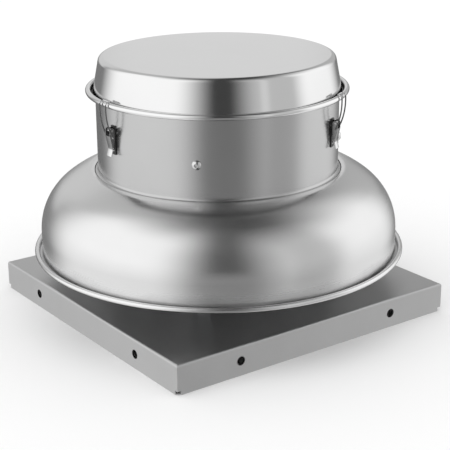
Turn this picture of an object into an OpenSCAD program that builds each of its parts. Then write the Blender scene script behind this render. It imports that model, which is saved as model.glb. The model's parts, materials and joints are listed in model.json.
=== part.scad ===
// Roof exhaust fan: spun aluminium, direct drive, downblast, on a square curb cap.
// Millimetres, +Z up. The origin is under the middle of the curb cap, level with the flange's lower edge.

/* [Curb cap] */
// Outer side of the square cap
cap_side = 558.8; // [540:0.1:640]
// Height of the folded flange
cap_h = 50.8; // [40:0.1:80]
// Sheet thickness of the cap
cap_t = 1.6; // [1:0.1:2.5]
// Outside bend radius along the top edges
cap_bend_r = 4; // [3:0.5:8]
// Width and height of the relief notch at each lower corner
cap_notch = 7; // [4:0.5:12]
// Diameter of the fastening holes in the flange
cap_hole_d = 14.3; // [8:0.1:16]
// Distance between the two holes of one flange
cap_hole_pitch = 317.5; // [200:0.5:400]
// Depth of the fastening holes below the cap's top
cap_hole_drop = 25.4; // [18:0.1:32]

/* [Inlet venturi] */
// Gap between the venturi's flange and the legs
venturi_gap = 2.9; // [2:0.1:6]
// Radius of the bell mouth's curve
mouth_r = 42; // [30:1:44]
// Height of the throat's lip above the cap
venturi_h = 78; // [70:0.5:79]
// Width of the venturi's mounting flange
venturi_flange = 17; // [15:0.5:18]
// Sheet thickness of the venturi
venturi_t = 1.6; // [1:0.1:2.5]
// Number of rivets in the venturi's flange
venturi_rivet_n = 12; // [8:1:16]
// Diameter of the venturi's rivets
venturi_rivet_d = 4.8; // [3.2:0.1:6]

/* [Windband] */
// Outer radius of the upright skirt
skirt_r = 311.2; // [305:0.1:325]
// Height of the air gap between the cap and the rim
rim_gap = 56.1; // [50:0.1:60]
// Height of the skirt, from the rim's lower face to the shoulder
skirt_h = 40.4; // [35:0.1:50]
// Radius of the shoulder's curve
shoulder_r = 101.5; // [95:0.5:104]
// Slope at which the shoulder becomes the crown, in degrees
shoulder_a = 35.8; // [34:0.1:38]
// Radius of the crown's curve
crown_r = 175.4; // [165:0.5:190]
// Radius of the lip's curve round the shroud's foot
lip_r = 25; // [20:1:28]
// Slope at which the lip ends at the shroud's foot, in degrees
lip_end_a = -13.8; // [-20:0.1:-10]
// Depth of the seat inside the lip
lip_step = 2.25; // [2:0.05:4]
// Sheet thickness of the windband
band_t = 1.6; // [1:0.1:2]
// Radius of the rim bead's round section
rim_bead_r = 4.3; // [3.5:0.1:5]
// Distance from the skirt's face to the outside of the rim bead
rim_reach = 13.3; // [12:0.1:15]
// Distance from the frame bolts in to the windband flange's inner edge
band_flange_in = 10; // [8:0.5:11]

/* [Motor shroud] */
// Outer radius of the shroud
shroud_r = 208.5; // [206:0.1:209]
// Height of the shroud above the deck seat
shroud_h = 154.5; // [150:0.1:165]
// Sheet thickness of the shroud
shroud_t = 1.3; // [1:0.1:2]
// How far the foot flares out past the wall
foot_flare = 5.3; // [4.5:0.1:6]
// Radius of the curled top edge
curl_r = 3; // [2.5:0.1:4]
// Gap between the foot and the windband's lip
seam_gap = 0.6; // [0.3:0.05:1]
// Height of the four shroud bolts above the deck seat
shroud_bolt_z = 61.7; // [50:0.1:66]
// Diameter of the shroud bolts' round heads
shroud_bolt_head_d = 16.4; // [12:0.1:18]

/* [Motor cover] */
// How far the cover's bead lies below the shroud's top
cover_overlap = 12.5; // [11:0.1:14]
// Height from the bead's centre to the top of the cover
cover_h = 58.8; // [55:0.1:75]
// Taper of the cover's wall, in degrees
cover_taper = 10.9; // [8:0.1:12]
// Sheet thickness of the cover
cover_t = 1.3; // [1:0.1:1.6]
// Corner radius between wall and top
cover_corner_r = 10; // [6:0.5:16]
// Rise of the top towards its middle
cover_crown = 1.2; // [0.8:0.1:4]
// Radius of the cover bead's round section
cover_bead_r = 4.65; // [4:0.05:5.2]
// Distance from the wall to the middle of the cover bead
cover_bead_reach = 8; // [7.5:0.1:9]
// Clearance between the cover's wall and the shroud's curled edge
cover_gap = 0.3; // [0.2:0.05:0.6]

/* [Toggle latches] */
// Angle of each latch round the shroud, in degrees
latch_angles = [180, -60, 60];
// Distance from the shroud's face to the lever's pivot
latch_reach = 7.5; // [7.2:0.1:10]
// Height from the lever's pivot up to the cover bead's centre
latch_drop = 43; // [40:0.1:46]
// Distance from the lever's pivot to the bail's pivot
latch_throw = 12; // [10:0.1:13]
// Width of the base plate
latch_base_w = 14; // [13:0.1:18]
// Height of the base plate
latch_base_h = 49; // [45:0.1:56]
// Sheet thickness of the base plate and lever
latch_t = 1.4; // [1:0.1:1.6]
// Length of the lever from its pivot to the finger tab
lever_l = 31; // [30:0.1:36]
// Length of the finger tab
finger_l = 13; // [10:0.1:14]
// Slope of the finger tab below level, in degrees
finger_a = 74; // [40:1:78]
// Diameter of the bail's wire
bail_d = 2.4; // [2:0.1:2.8]
// Diameter of the pivot pin
latch_pin_d = 3.2; // [2.8:0.1:3.6]
// Radial running clearance of the latch pivots
pivot_clear = 0.05; // [0.02:0.01:0.1]
// Gap between the bail's cross wire and the cover bead
bail_gap = 0.35; // [0.2:0.05:0.4]
// Gap between the bail's legs and the outside of the cover bead
bail_out = 1.4; // [0.9:0.1:2]
// Diameter of the latch rivets
latch_rivet_d = 3.2; // [2.4:0.1:4]

/* [Motor deck] */
// Thickness of the deck plate
deck_t = 3; // [2:0.1:4]
// Gap between the deck's edge and the shroud's inner wall
deck_gap = 1.2; // [0.5:0.1:2]
// Radius of the deck's shaft opening
deck_hole_r = 32; // [28:0.5:36]
// Distance from the deck's edge in to the bolts that clamp legs, windband and deck
frame_bolt_in = 27; // [24:0.5:30]
// Diameter of the frame bolts
frame_bolt_d = 8; // [6:0.5:8]

/* [Support legs] */
// Width of a leg across its web
leg_w = 32; // [28:0.5:40]
// Distance from a leg's web out to its bolts
leg_bolt_in = 9.5; // [9:0.1:10]
// Radial depth of a leg
leg_d = 16; // [15:0.5:17]
// Sheet thickness of the legs and brackets
leg_t = 2; // [1.5:0.1:2.5]
// Height of the screen ledge above the cap
screen_ledge_z = 61.5; // [58:0.1:66]
// How far the screen's ledge reaches out past a leg
ledge_w = 14; // [12:0.5:18]

/* [Bird screen] */
// Diameter of the screen's wire
screen_wire = 2; // [1.6:0.1:2.4]
// Number of rings
screen_ring_n = 7; // [5:1:8]
// Number of radial wires
screen_spoke_n = 16; // [12:4:24]
// Gap between the screen's outer ring and the skirt
screen_gap = 0.3; // [0.2:0.05:1]

/* [Wheel] */
// Gap between the wheel and the legs
wheel_gap = 4.5; // [3:0.1:12]
// Number of blades
blade_n = 10; // [7:1:12]
// How far the blades reach in past the inlet ring, at the back plate
blade_lead = 19; // [15:0.5:26]
// Angle that a blade covers round the axis, in degrees
blade_sweep = 30; // [24:0.5:34]
// Radius of the blade's own curve
blade_curve_r = 120; // [100:1:160]
// Blade thickness
blade_t = 2; // [1.5:0.1:2.5]
// Gap between the wheel's back plate and the motor deck's seat
wheel_top_gap = 21.8; // [20:0.1:24]
// Thickness of the back plate
back_t = 2; // [1.5:0.1:2.4]
// Gap between the venturi's throat and the inlet ring
ring_gap = 3.4; // [2.4:0.1:6]
// Radius of the inlet ring's curve
ring_curve_r = 26; // [22:0.5:28]
// Slope of the inlet ring's outer cone, in degrees
ring_slope = 10; // [6:0.5:14]
// How far the inlet ring reaches down over the venturi's lip
ring_lap = 7.8; // [5:0.1:10]
// Straight height of the inlet ring's lip
ring_lip_h = 13; // [11:0.5:14]
// Sheet thickness of the inlet ring
ring_t = 1.6; // [1:0.1:2]
// Radius of the hub's flange
hub_flange_r = 38; // [34:0.5:46]
// Radius of the hub's barrel
hub_r = 19; // [16:0.5:22]
// Height of the hub's barrel below its flange
hub_h = 28; // [24:0.5:32]
// Thickness of the hub's flange
hub_flange_t = 6; // [5:0.1:8]
// Number of hub rivets
hub_rivet_n = 8; // [6:1:8]
// Diameter of the hub rivets
hub_rivet_d = 6; // [4:0.1:6.2]

/* [Motor] */
// Diameter of the motor's shaft
shaft_d = 15.875; // [12:0.005:16]
// Radial clearance of the shaft in its sleeve bearings
bearing_clear = 0.04; // [0.02:0.01:0.1]
// Outer radius of the motor's shell
motor_r = 82; // [78:0.5:86]
// Height of the motor's shell
motor_shell_h = 100; // [90:0.5:110]
// Wall thickness of the motor's shell
motor_shell_t = 3; // [2:0.1:3.5]
// Height of the lower end bell
lower_bell_h = 24; // [22:0.5:28]
// Height of the upper end bell
upper_bell_h = 24; // [22:0.5:28]
// Radius of the rotor's core
rotor_r = 49.5; // [45:0.5:51]
// Air gap between rotor and stator
air_gap = 0.5; // [0.3:0.05:1]
// Height of the rotor and stator cores
core_h = 64; // [50:0.5:68]
// Height of a vibration isolator
isolator_h = 16; // [14:0.5:22]
// Radius of a vibration isolator
isolator_r = 15; // [12:0.5:17]
// Thickness of the motor's cradle
cradle_t = 4; // [3:0.1:5]

/* [Wiring] */
// Outer radius of the wiring and breather tube
tube_r = 9; // [8:0.1:10]
// Wall thickness of the tube
tube_t = 1.1; // [1:0.1:2]
// Metal left between the tube's hole and the windband flange's inner edge
tube_edge = 2; // [1.5:0.1:3]
// Angle of the tube round the axis, in degrees
tube_a = 64; // [62:0.5:66]
// Width of the disconnect switch box
switch_w = 70; // [60:0.5:74]
// Radial depth of the disconnect switch box
switch_d = 46; // [40:0.5:48]
// Height of the disconnect switch box
switch_h = 58; // [50:0.5:70]
// Gap between the corners of the switch box and the shroud's inner wall
switch_wall_gap = 13.2; // [8:0.1:16]
// Gap between the switch box and the isolators
switch_gap = 10; // [6:0.5:12]

/* [Hidden] */
$fn = 96;

// Angles of the legs, brackets and shroud bolts: the diagonals
corner_angles = [45, 135, 225, 315];
// Overlap used where one body of metal is drawn as two shapes
fuse = 0.01;
// Radial clearance of a fixed fit
press_gap = 0.02;
// Extra length of a cutting tool past the metal
over = 1;
// Height of a bolt's head and of a nut, and the thread past the clamped plates, as shares of the bolt's size
bolt_head_h = 0.66;
nut_h = 0.8;
thread_out = 1.1;
// Radius and height of a rivet's head and tail, as shares of its diameter, and the clearance in its hole
rivet_head_r = 0.85;
rivet_head_h = 0.38;
rivet_tail_r = 0.82;
rivet_tail_h = 0.35;
rivet_gap = 0.1;
// Extra diameter of the ball at each bend of a wire
ball_rim = 0.1;
// Points along a drawn curve and round a rolled bead
curve_n = 14;
roll_n = 24;
// Slope at which a rolled bead ends, in degrees
roll_end_a = -112;
// Points along the small curves of the shroud and cover
flare_n = 6;
curl_n = 8;
corner_n = 10;
crown_n = 6;

// Levels of the windband and of the deck's seat
rim_z = cap_h + rim_gap;
skirt_top = rim_z + skirt_h;
shoulder_c = [skirt_r - shoulder_r, skirt_top];
crown_c = shoulder_c + (shoulder_r - crown_r) * [sin(shoulder_a), cos(shoulder_a)];
foot_r = shroud_r + foot_flare;
seam_r = foot_r + seam_gap;
crown_a = asin((seam_r - lip_r * sin(lip_end_a) - crown_c[0]) / (crown_r - lip_r));
lip_c = crown_c + (crown_r - lip_r) * [sin(crown_a), cos(crown_a)];
lip_in_a = asin((seam_r + band_t - lip_c[0]) / (lip_r - band_t));
deck_z = lip_c[1] + lip_r * cos(lip_end_a) - lip_step;
deck_top = deck_z + deck_t;
shroud_in_r = shroud_r - shroud_t;
deck_r = shroud_in_r - deck_gap;
frame_bolt_r = deck_r - frame_bolt_in;
band_flange_r = frame_bolt_r - band_flange_in;
leg_r = frame_bolt_r - leg_bolt_in;
rim_bead_c = [skirt_r + rim_reach - rim_bead_r, rim_z + rim_bead_r];

// Shroud and cover
shroud_top = deck_z + shroud_h;
curl_c = [shroud_r - curl_r, shroud_top - curl_r];
curl_lip = 2;
bead_z = shroud_top - cover_overlap;
brim_z = bead_z - cover_bead_r;
cover_top = bead_z + cover_h;
cover_edge_top = cover_top - cover_crown;
corner_z = cover_edge_top - cover_corner_r;
corner_r = cover_wall_r(corner_z + cover_corner_r * sin(cover_taper)) - cover_corner_r * cos(cover_taper);
crown_top_r = (corner_r * corner_r + cover_crown * cover_crown) / (2 * cover_crown);
crown_top_a = asin(corner_r / crown_top_r);
bead_r = cover_wall_r(brim_z + cover_t) + cover_bead_reach;

// Outer radius of the cover's tapered wall at height z, set off from the shroud's curled edge
function cover_wall_r(z) = curl_c[0]
    + (curl_r + cover_gap + cover_t - (z - curl_c[1]) * sin(cover_taper)) / cos(cover_taper);

// Venturi: its flange ends short of the legs, and the throat lies a bell mouth inside the flange
bell_r = leg_r - venturi_gap - venturi_flange;
throat_r = bell_r - mouth_r - venturi_t;

// Brackets and bolts: the tab's clearance, radius and rise, and the gap a flat nut leaves in its hollow
tab_gap = 0.2;
tab_r = shroud_in_r - tab_gap;
tab_rise = 12;
bracket_in = 11;
nut_seat = pow(flats(frame_bolt_d) / cos(30) / 2, 2) / (2 * (tab_r - leg_t));
shroud_bolt_head_h = 5;
shroud_bolt_out = 2;
shroud_bolt_l = shroud_t + tab_gap + leg_t + nut_h * frame_bolt_d + shroud_bolt_out;
socket_d = 5.8;
socket_h = 3;

// Latches: the base plate's place, its ears, the lever's cheeks, the bail's path and the pin's ends
plate_gap = 0.1;
plate_r = shroud_r + plate_gap;
pivot_r = shroud_r + latch_reach;
pivot_z = bead_z - latch_drop;
plate_rise = 7;
plate_z = pivot_z + plate_rise - latch_base_h;
ear_in = 4.4;
ear_r = 3.2;
cheek_gap = 0.3;
bail_side_gap = 0.5;
lever_in = ear_in + latch_t + cheek_gap;
lever_out = lever_in + latch_t;
cheek_r = 4.4;
web_x = 4.7;
web_top = 9;
web_lean = 5;
web_inset = 0.4;
web_lip = 0.15;
bail_y = lever_out + bail_side_gap + bail_d / 2;
hook_a = 3;
bow_drop = 6;
bow_n = 3;
bow_top = 0.5;
crook_in = 1.2;
crook_rise = 5;
pin_out = 0.3;
latch_rivet_low = 8;
latch_rivet_drop = 20;
latch_rivet_zs = [latch_rivet_low, latch_base_h - latch_rivet_drop];
hook = [bead_r, bead_z] + (cover_bead_r + bail_d / 2 + bail_gap) * [-sin(hook_a), cos(hook_a)];
bow_r = bead_r + cover_bead_r + bail_d / 2 + bail_out;
bow_z = bead_z - bow_drop;
bow_curve_r = (pow(bow_r - pivot_r, 2) + pow(bow_z - pivot_z + latch_throw, 2)) / (2 * (bow_r - pivot_r));
bow_a = asin((bow_z - pivot_z + latch_throw) / bow_curve_r);

// Screen: how deep the rings sink into the radial wires, as a share of the wire, and the wires' inner ends
screen_weld = 0.2;
screen_end = 2;

// Lightening holes of the legs: their heights and diameter as shares of the leg's height and width
leg_hole_zs = [0.38, 0.72];
leg_hole_d = 0.4;

// Wheel, inlet ring and hub
wheel_r = leg_r - wheel_gap;
ring_r = throat_r + venturi_t + ring_gap;
blade_in_r = ring_r - blade_lead;
blade_tip_in = 2;
blade_gap = 0.05;
trim_in = 3;
trim_out = 5;
back_z = deck_z - wheel_top_gap;
blade_top = back_z - back_t;
ring_z = cap_h + venturi_h - ring_lap;
ring_c = [ring_r + ring_curve_r, ring_z + ring_lip_h];
ring_a = 90 - ring_slope;
ring_tip = ring_c + ring_curve_r * [-cos(ring_a), sin(ring_a)];
hub_z = blade_top - hub_flange_t;
hub_low = hub_z - hub_h;
hub_cone_w = 8;
hub_cone_h = 6;
set_screw_d = 6;
set_screw_z = 10;
set_screw_socket_d = 3.4;
set_screw_socket_h = 2.5;
set_screw_sink = 1.5;
shaft_r = shaft_d / 2;
shaft_in = 3;

// Motor and its mounting; the isolator's waist is cut as shares of its size
isolator_bolt_d = 8;
isolator_waist = 0.22;
isolator_groove_r = 0.6;
isolator_groove_h = 0.68;
isolator_rim = 0.5;
motor_bolt_d = 5;
cradle_z = deck_top + isolator_h;
motor_z = cradle_z + cradle_t;
shell_z = motor_z + lower_bell_h;
shell_top = shell_z + motor_shell_h;
motor_top = shell_top + upper_bell_h;
core_z = shell_z + (motor_shell_h - core_h) / 2;
motor_bolt_in = 5;
motor_bolt_r = motor_r - motor_shell_t - motor_bolt_in;
bell_floor_t = 6;
bell_rim_w = 10;
bell_slot_n = 12;
bell_slot_w = 6;
bell_slot_l = 26;
bearing_r = 14;
boss_r = 24;
bell_slot_r = (boss_r + motor_r - bell_rim_w) / 2;
winding_h = 13;
winding_gap = 2;
lower_boss_h = 12;
upper_boss_h = 4;
bearing_sink = 4;
collar_gap = 0.3;
collar_w = 4;
cradle_rim = 2;
cradle_hole_gap = 4;

// Wiring tube and its locknuts
locknut_h = 4;
locknut_w = 4;
tube_gap = 0.5;
tube_foot = 3;
tube_rise = 10;
tube_pos_r = band_flange_r + tube_edge + tube_r + tube_gap;
tube_low = cap_h - cap_t - locknut_h - tube_foot;
tube_high = deck_top + locknut_h + tube_rise;

// Disconnect switch: its box, cover and toggle
switch_in = sqrt(pow(shroud_in_r, 2) - pow(switch_w / 2, 2)) - switch_wall_gap - switch_d;
isolator_ring_r = switch_in - switch_gap - isolator_r;
switch_y = switch_in + switch_d / 2;
switch_top = deck_top + switch_h;
switch_plate_t = 1.6;
switch_hole_r = 11;
switch_hole_z = 18;
switch_post_w = 10;
switch_post_h = 12;
switch_post_x = switch_w / 2 - switch_post_w / 2 - 1;
switch_screw_d = 3.4;
switch_screw_head_h = 2;
switch_screw_slot_w = 0.8;
switch_screw_slot_h = 1;
switch_slot = [10, 20];
switch_body_size = [22, 30, 32];
toggle_sink = 6;
toggle_z = switch_top - toggle_sink;
toggle_tilt = 22;
toggle_r = 4;
toggle_w = 8;
toggle_l = 24;
toggle_pin_d = 3;

// Width across flats of a bolt's head, and the hole a bolt passes through
function flats(d) = 1.625 * d;
function hole_d(d) = d + 0.8;

// Point at slope a on a circle of radius r about c, the slope measured from level
function on_arc(c, r, a) = c + r * [sin(a), cos(a)];
function arc_pts(c, r, a0, a1, n = curve_n) = [for (i = [0 : n]) on_arc(c, r, a0 + (a1 - a0) * i / n)];
// Section of a bead rolled outwards, upwards and back over the brim it starts from: outside, then inside
function rolled_bead(c, r, t) = concat(arc_pts(c, r, 180, roll_end_a, roll_n),
    arc_pts(c, r - t, roll_end_a, 180, roll_n));
// Point at turn a on a circle of radius r about the inlet ring's curve, turned from the inward side upwards
function ring_arc(r, n = curve_n) = [for (i = [0 : n])
    ring_c + r * [-cos(ring_a * i / n), sin(ring_a * i / n)]];

module at_corners(r, z = 0) {
    for (a = corner_angles)
        rotate([0, 0, a])
            translate([r, 0, z])
                children();
}

module hex_bolt(d, length) {
    cylinder(d = flats(d) / cos(30), h = bolt_head_h * d, $fn = 6);
    translate([0, 0, -length])
        cylinder(d = d, h = length + fuse);
}

// Nut whose lower face is at z = 0
module hex_nut(d) {
    difference() {
        cylinder(d = flats(d) / cos(30), h = nut_h * d, $fn = 6);
        translate([0, 0, -over])
            cylinder(d = d + 2 * press_gap, h = nut_h * d + 2 * over);
    }
}

// Domed rivet head, flat side down
module rivet_head(r, h) {
    ball_r = (r * r + h * h) / (2 * h);
    intersection() {
        translate([0, 0, h - ball_r])
            sphere(r = ball_r);
        cylinder(r = r + over, h = h + over);
    }
}

// Rivet through a stack of sheets whose upper face is at z = 0: domed head above, flat tail below
module rivet(d, grip) {
    rivet_head(rivet_head_r * d, rivet_head_h * d);
    translate([0, 0, -grip - fuse])
        cylinder(d = d, h = grip + 2 * fuse);
    translate([0, 0, -grip - rivet_tail_h * d])
        cylinder(r = rivet_tail_r * d, h = rivet_tail_h * d);
}

// Straight round wire from p to q with a ball at q, a little proud as a weld bead is
module wire(p, q, d) {
    v = q - p;
    l = norm(v);
    translate(p)
        rotate([0, acos(v[2] / l), atan2(v[1], v[0])])
            cylinder(d = d, h = l);
    translate(q)
        sphere(d = d + ball_rim);
}

// Square block with rounded top edges, the outside of a folded cap
module folded_block(side, h, bend) {
    intersection_for (a = [0, 90])
        rotate([90, 0, a])
            translate([0, 0, -side / 2])
                linear_extrude(side)
                    union() {
                        translate([-side / 2, -over])
                            square([side, h - bend + over]);
                        translate([-side / 2 + bend, 0])
                            square([side - 2 * bend, h]);
                        for (s = [-1, 1])
                            translate([s * (side / 2 - bend), h - bend])
                                circle(bend);
                    }
}

module curb_cap() {
    color("silver")
        difference() {
            intersection() {
                folded_block(cap_side, cap_h, cap_bend_r);
                translate([-cap_side / 2 - over, -cap_side / 2 - over, 0])
                    cube([cap_side + 2 * over, cap_side + 2 * over, cap_h + over]);
            }
            translate([0, 0, -over])
                folded_block(cap_side - 2 * cap_t, cap_h - cap_t + over, cap_bend_r - cap_t);
            translate([0, 0, cap_h - cap_t - over])
                cylinder(r = bell_r, h = cap_t + 2 * over);
            for (a = [0, 90, 180, 270])
                rotate([0, 0, a])
                    for (s = [-1, 1])
                        translate([cap_side / 2 + over, s * cap_hole_pitch / 2, cap_h - cap_hole_drop])
                            rotate([0, -90, 0])
                                cylinder(d = cap_hole_d, h = cap_t + 2 * over);
            for (a = corner_angles)
                rotate([0, 0, a])
                    translate([cap_side / sqrt(2), 0, -over])
                        rotate([0, 0, 45])
                            cube([2 * cap_notch, 2 * cap_notch, 2 * cap_notch + 2 * over], center = true);
            at_corners(frame_bolt_r, cap_h - cap_t - over)
                cylinder(d = hole_d(frame_bolt_d), h = cap_t + 2 * over);
            tube_place(cap_h - cap_t - over)
                cylinder(r = tube_r + tube_gap, h = cap_t + 2 * over);
            venturi_rivet_places(cap_h - cap_t - over)
                cylinder(d = venturi_rivet_d + 2 * rivet_gap, h = cap_t + 2 * over);
        }
}

module venturi_rivet_places(z) {
    for (i = [0 : venturi_rivet_n - 1])
        rotate([0, 0, (i + 0.5) * 360 / venturi_rivet_n])
            translate([bell_r + venturi_flange / 2, 0, z])
                children();
}

// Bell mouth: flange on the cap, a quarter curve inwards, then the straight throat lip
module inlet_venturi() {
    bell_c = [bell_r, cap_h + mouth_r];
    flange_r = bell_c[0] + venturi_flange;
    top = cap_h + venturi_h;
    outer = arc_pts(bell_c, mouth_r - venturi_t, 180, 270);
    inner = arc_pts(bell_c, mouth_r, 270, 180);
    color("gainsboro")
        difference() {
            rotate_extrude()
                polygon(concat([[flange_r, cap_h], [flange_r, cap_h + venturi_t]], outer,
                    [[bell_c[0] - mouth_r + venturi_t, top], [bell_c[0] - mouth_r, top]], inner));
            venturi_rivet_places(cap_h - over)
                cylinder(d = venturi_rivet_d + 2 * rivet_gap, h = venturi_t + 2 * over);
        }
}

module venturi_rivets() {
    color("lightgray")
        venturi_rivet_places(cap_h + venturi_t)
            rivet(venturi_rivet_d, cap_t + venturi_t);
}

// Channel leg with a bolted tab at each end and a ledge for the bird screen
module support_leg(k) {
    h = deck_z - band_t - cap_h;
    color("darkgray")
        rotate([0, 0, corner_angles[k - 1]])
            translate([leg_r, 0, cap_h])
                difference() {
                    union() {
                        translate([0, -leg_w / 2, 0])
                            cube([leg_t, leg_w, h]);
                        for (s = [-1, 1])
                            translate([0, s * (leg_w / 2 - leg_t / 2) - leg_t / 2, 0])
                                cube([leg_d, leg_t, h]);
                        for (z = [0, h - leg_t])
                            translate([0, -leg_w / 2, z])
                                cube([leg_d, leg_w, leg_t]);
                        translate([0, -leg_w / 2, screen_ledge_z - leg_t])
                            cube([leg_d + ledge_w, leg_w, leg_t]);
                    }
                    for (z = [0, h])
                        translate([frame_bolt_r - leg_r, 0, z - leg_t - over])
                            cylinder(d = hole_d(frame_bolt_d), h = 2 * leg_t + 2 * over);
                    for (share = leg_hole_zs)
                        translate([-over, 0, share * h])
                            rotate([0, 90, 0])
                                cylinder(d = leg_hole_d * leg_w, h = leg_t + 2 * over);
                }
}

// Bolts at the foot of each leg and through leg, windband, deck and bracket at its head
module leg_bolts() {
    color("lightsteelblue") {
        at_corners(frame_bolt_r, cap_h + leg_t)
            hex_bolt(frame_bolt_d, cap_t + leg_t + thread_out * frame_bolt_d);
        at_corners(frame_bolt_r, deck_top + leg_t)
            hex_bolt(frame_bolt_d, deck_t + band_t + 2 * leg_t + thread_out * frame_bolt_d);
    }
}

module leg_nuts() {
    color("lightsteelblue") {
        at_corners(frame_bolt_r, cap_h - cap_t - nut_h * frame_bolt_d)
            hex_nut(frame_bolt_d);
        at_corners(frame_bolt_r, deck_z - band_t - leg_t - nut_h * frame_bolt_d)
            hex_nut(frame_bolt_d);
    }
}

// Rings of wire laid on radial wires, across the annular outlet
module bird_screen() {
    r_in = tube_pos_r + tube_r + screen_gap + screen_wire / 2;
    r_out = skirt_r - band_t - screen_gap - screen_wire / 2;
    z = cap_h + screen_ledge_z + screen_wire / 2;
    pitch = (r_out - r_in) / (screen_ring_n - 1);
    color("dimgray") {
        for (i = [0 : screen_ring_n - 1])
            translate([0, 0, z + screen_wire * (1 - screen_weld)])
                rotate_extrude()
                    translate([r_in + i * pitch, 0])
                        circle(d = screen_wire, $fn = 24);
        for (i = [0 : screen_spoke_n - 1])
            rotate([0, 90, i * 360 / screen_spoke_n])
                translate([-z, 0, r_in - screen_end])
                    cylinder(d = screen_wire, h = r_out - r_in + screen_end);
    }
}

// Spun dome: skirt, shoulder, crown, lip round the shroud's foot, seat flange, and the rolled rim bead
module windband() {
    lip_end = on_arc(lip_c, lip_r, lip_end_a);
    outer = concat([[skirt_r, rim_z + band_t]], arc_pts(shoulder_c, shoulder_r, 90, shoulder_a),
        arc_pts(crown_c, crown_r, shoulder_a, crown_a), arc_pts(lip_c, lip_r, crown_a, lip_end_a));
    inner = concat(arc_pts(lip_c, lip_r - band_t, lip_in_a, crown_a),
        arc_pts(crown_c, crown_r - band_t, crown_a, shoulder_a),
        arc_pts(shoulder_c, shoulder_r - band_t, shoulder_a, 90), [[skirt_r - band_t, rim_z]]);
    seat = [[lip_end[0], deck_z], [band_flange_r, deck_z], [band_flange_r, deck_z - band_t],
        [lip_end[0] + band_t, deck_z - band_t]];
    color("silver")
        difference() {
            rotate_extrude()
                polygon(concat(outer, seat, inner, rolled_bead(rim_bead_c, rim_bead_r, band_t)));
            at_corners(frame_bolt_r, deck_z - band_t - over)
                cylinder(d = hole_d(frame_bolt_d), h = band_t + 2 * over);
            tube_place(deck_z - band_t - over)
                cylinder(r = tube_r + tube_gap, h = band_t + 2 * over);
        }
}

// Drum round the motor, with a flared foot and a curled top edge
module shroud() {
    flare_c = [foot_r, deck_z + shroud_t + foot_flare];
    outer = arc_pts(flare_c, foot_flare, 180, 270, flare_n);
    inner = arc_pts(flare_c, foot_flare + shroud_t, 270, 180, flare_n);
    lip_r = curl_c[0] - curl_lip;
    curl = arc_pts(curl_c, curl_r, 90, 0, curl_n);
    curl_in = arc_pts(curl_c, curl_r - shroud_t, 0, 90, curl_n);
    color("gainsboro")
        difference() {
            rotate_extrude()
                polygon(concat(outer, curl, [[lip_r, shroud_top], [lip_r, shroud_top - shroud_t]], curl_in,
                    inner));
            for (a = corner_angles)
                rotate([0, 0, a])
                    translate([shroud_r - shroud_t - over, 0, deck_z + shroud_bolt_z])
                        rotate([0, 90, 0])
                            cylinder(d = hole_d(frame_bolt_d), h = shroud_t + 2 * over);
            for (k = [1 : 3])
                latch_rivet_places(k)
                    translate([0, 0, -shroud_t - 2 * over])
                        cylinder(d = latch_rivet_d + 2 * rivet_gap, h = shroud_t + 3 * over);
        }
}

// Plate that closes the windband and carries the motor
module motor_deck() {
    color("slategray")
        difference() {
            translate([0, 0, deck_z])
                cylinder(r = deck_r, h = deck_t);
            translate([0, 0, deck_z - over])
                cylinder(r = deck_hole_r, h = deck_t + 2 * over);
            at_corners(frame_bolt_r, deck_z - over)
                cylinder(d = hole_d(frame_bolt_d), h = deck_t + 2 * over);
            isolator_places(deck_z - over)
                cylinder(d = hole_d(isolator_bolt_d), h = deck_t + 2 * over);
            tube_place(deck_z - over)
                cylinder(r = tube_r + tube_gap, h = deck_t + 2 * over);
        }
}

// Angle bracket: a foot on the deck and an upright tab behind each shroud bolt
module shroud_bracket(k) {
    tab_h = shroud_bolt_z - deck_t + tab_rise;
    color("darkgray")
        rotate([0, 0, corner_angles[k - 1]])
            difference() {
                union() {
                    intersection() {
                        translate([frame_bolt_r - bracket_in, -leg_w / 2, deck_top])
                            cube([tab_r - frame_bolt_r + bracket_in, leg_w, leg_t]);
                        cylinder(r = tab_r, h = deck_top + leg_t + over);
                    }
                    intersection() {
                        difference() {
                            translate([0, 0, deck_top])
                                cylinder(r = tab_r, h = tab_h);
                            cylinder(r = tab_r - leg_t, h = deck_top + tab_h + over);
                        }
                        translate([tab_r - leg_w / 2, -leg_w / 2, deck_top])
                            cube([leg_w, leg_w, tab_h]);
                    }
                }
                translate([frame_bolt_r, 0, deck_top - over])
                    cylinder(d = hole_d(frame_bolt_d), h = leg_t + 2 * over);
                translate([tab_r - leg_t - over, 0, deck_z + shroud_bolt_z])
                    rotate([0, 90, 0])
                        cylinder(d = hole_d(frame_bolt_d), h = leg_t + 3 * over);
            }
}

module shroud_bolt_places() {
    for (a = corner_angles)
        rotate([0, 0, a])
            translate([shroud_r, 0, deck_z + shroud_bolt_z])
                rotate([0, 90, 0])
                    children();
}

// Round-headed bolts with a hexagon socket
module shroud_bolts() {
    color("gainsboro")
        shroud_bolt_places()
            difference() {
                union() {
                    rivet_head(shroud_bolt_head_d / 2, shroud_bolt_head_h);
                    translate([0, 0, -shroud_bolt_l])
                        cylinder(d = frame_bolt_d, h = shroud_bolt_l + fuse);
                }
                translate([0, 0, shroud_bolt_head_h - socket_h])
                    cylinder(d = socket_d, h = socket_h + over, $fn = 6);
            }
}

module shroud_nuts() {
    color("lightsteelblue")
        shroud_bolt_places()
            translate([0, 0, -shroud_t - tab_gap - leg_t - nut_seat - nut_h * frame_bolt_d])
                hex_nut(frame_bolt_d);
}

module isolator_places(z) {
    for (a = [0, 90, 180, 270])
        rotate([0, 0, a])
            translate([isolator_ring_r, 0, z])
                children();
}

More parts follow.
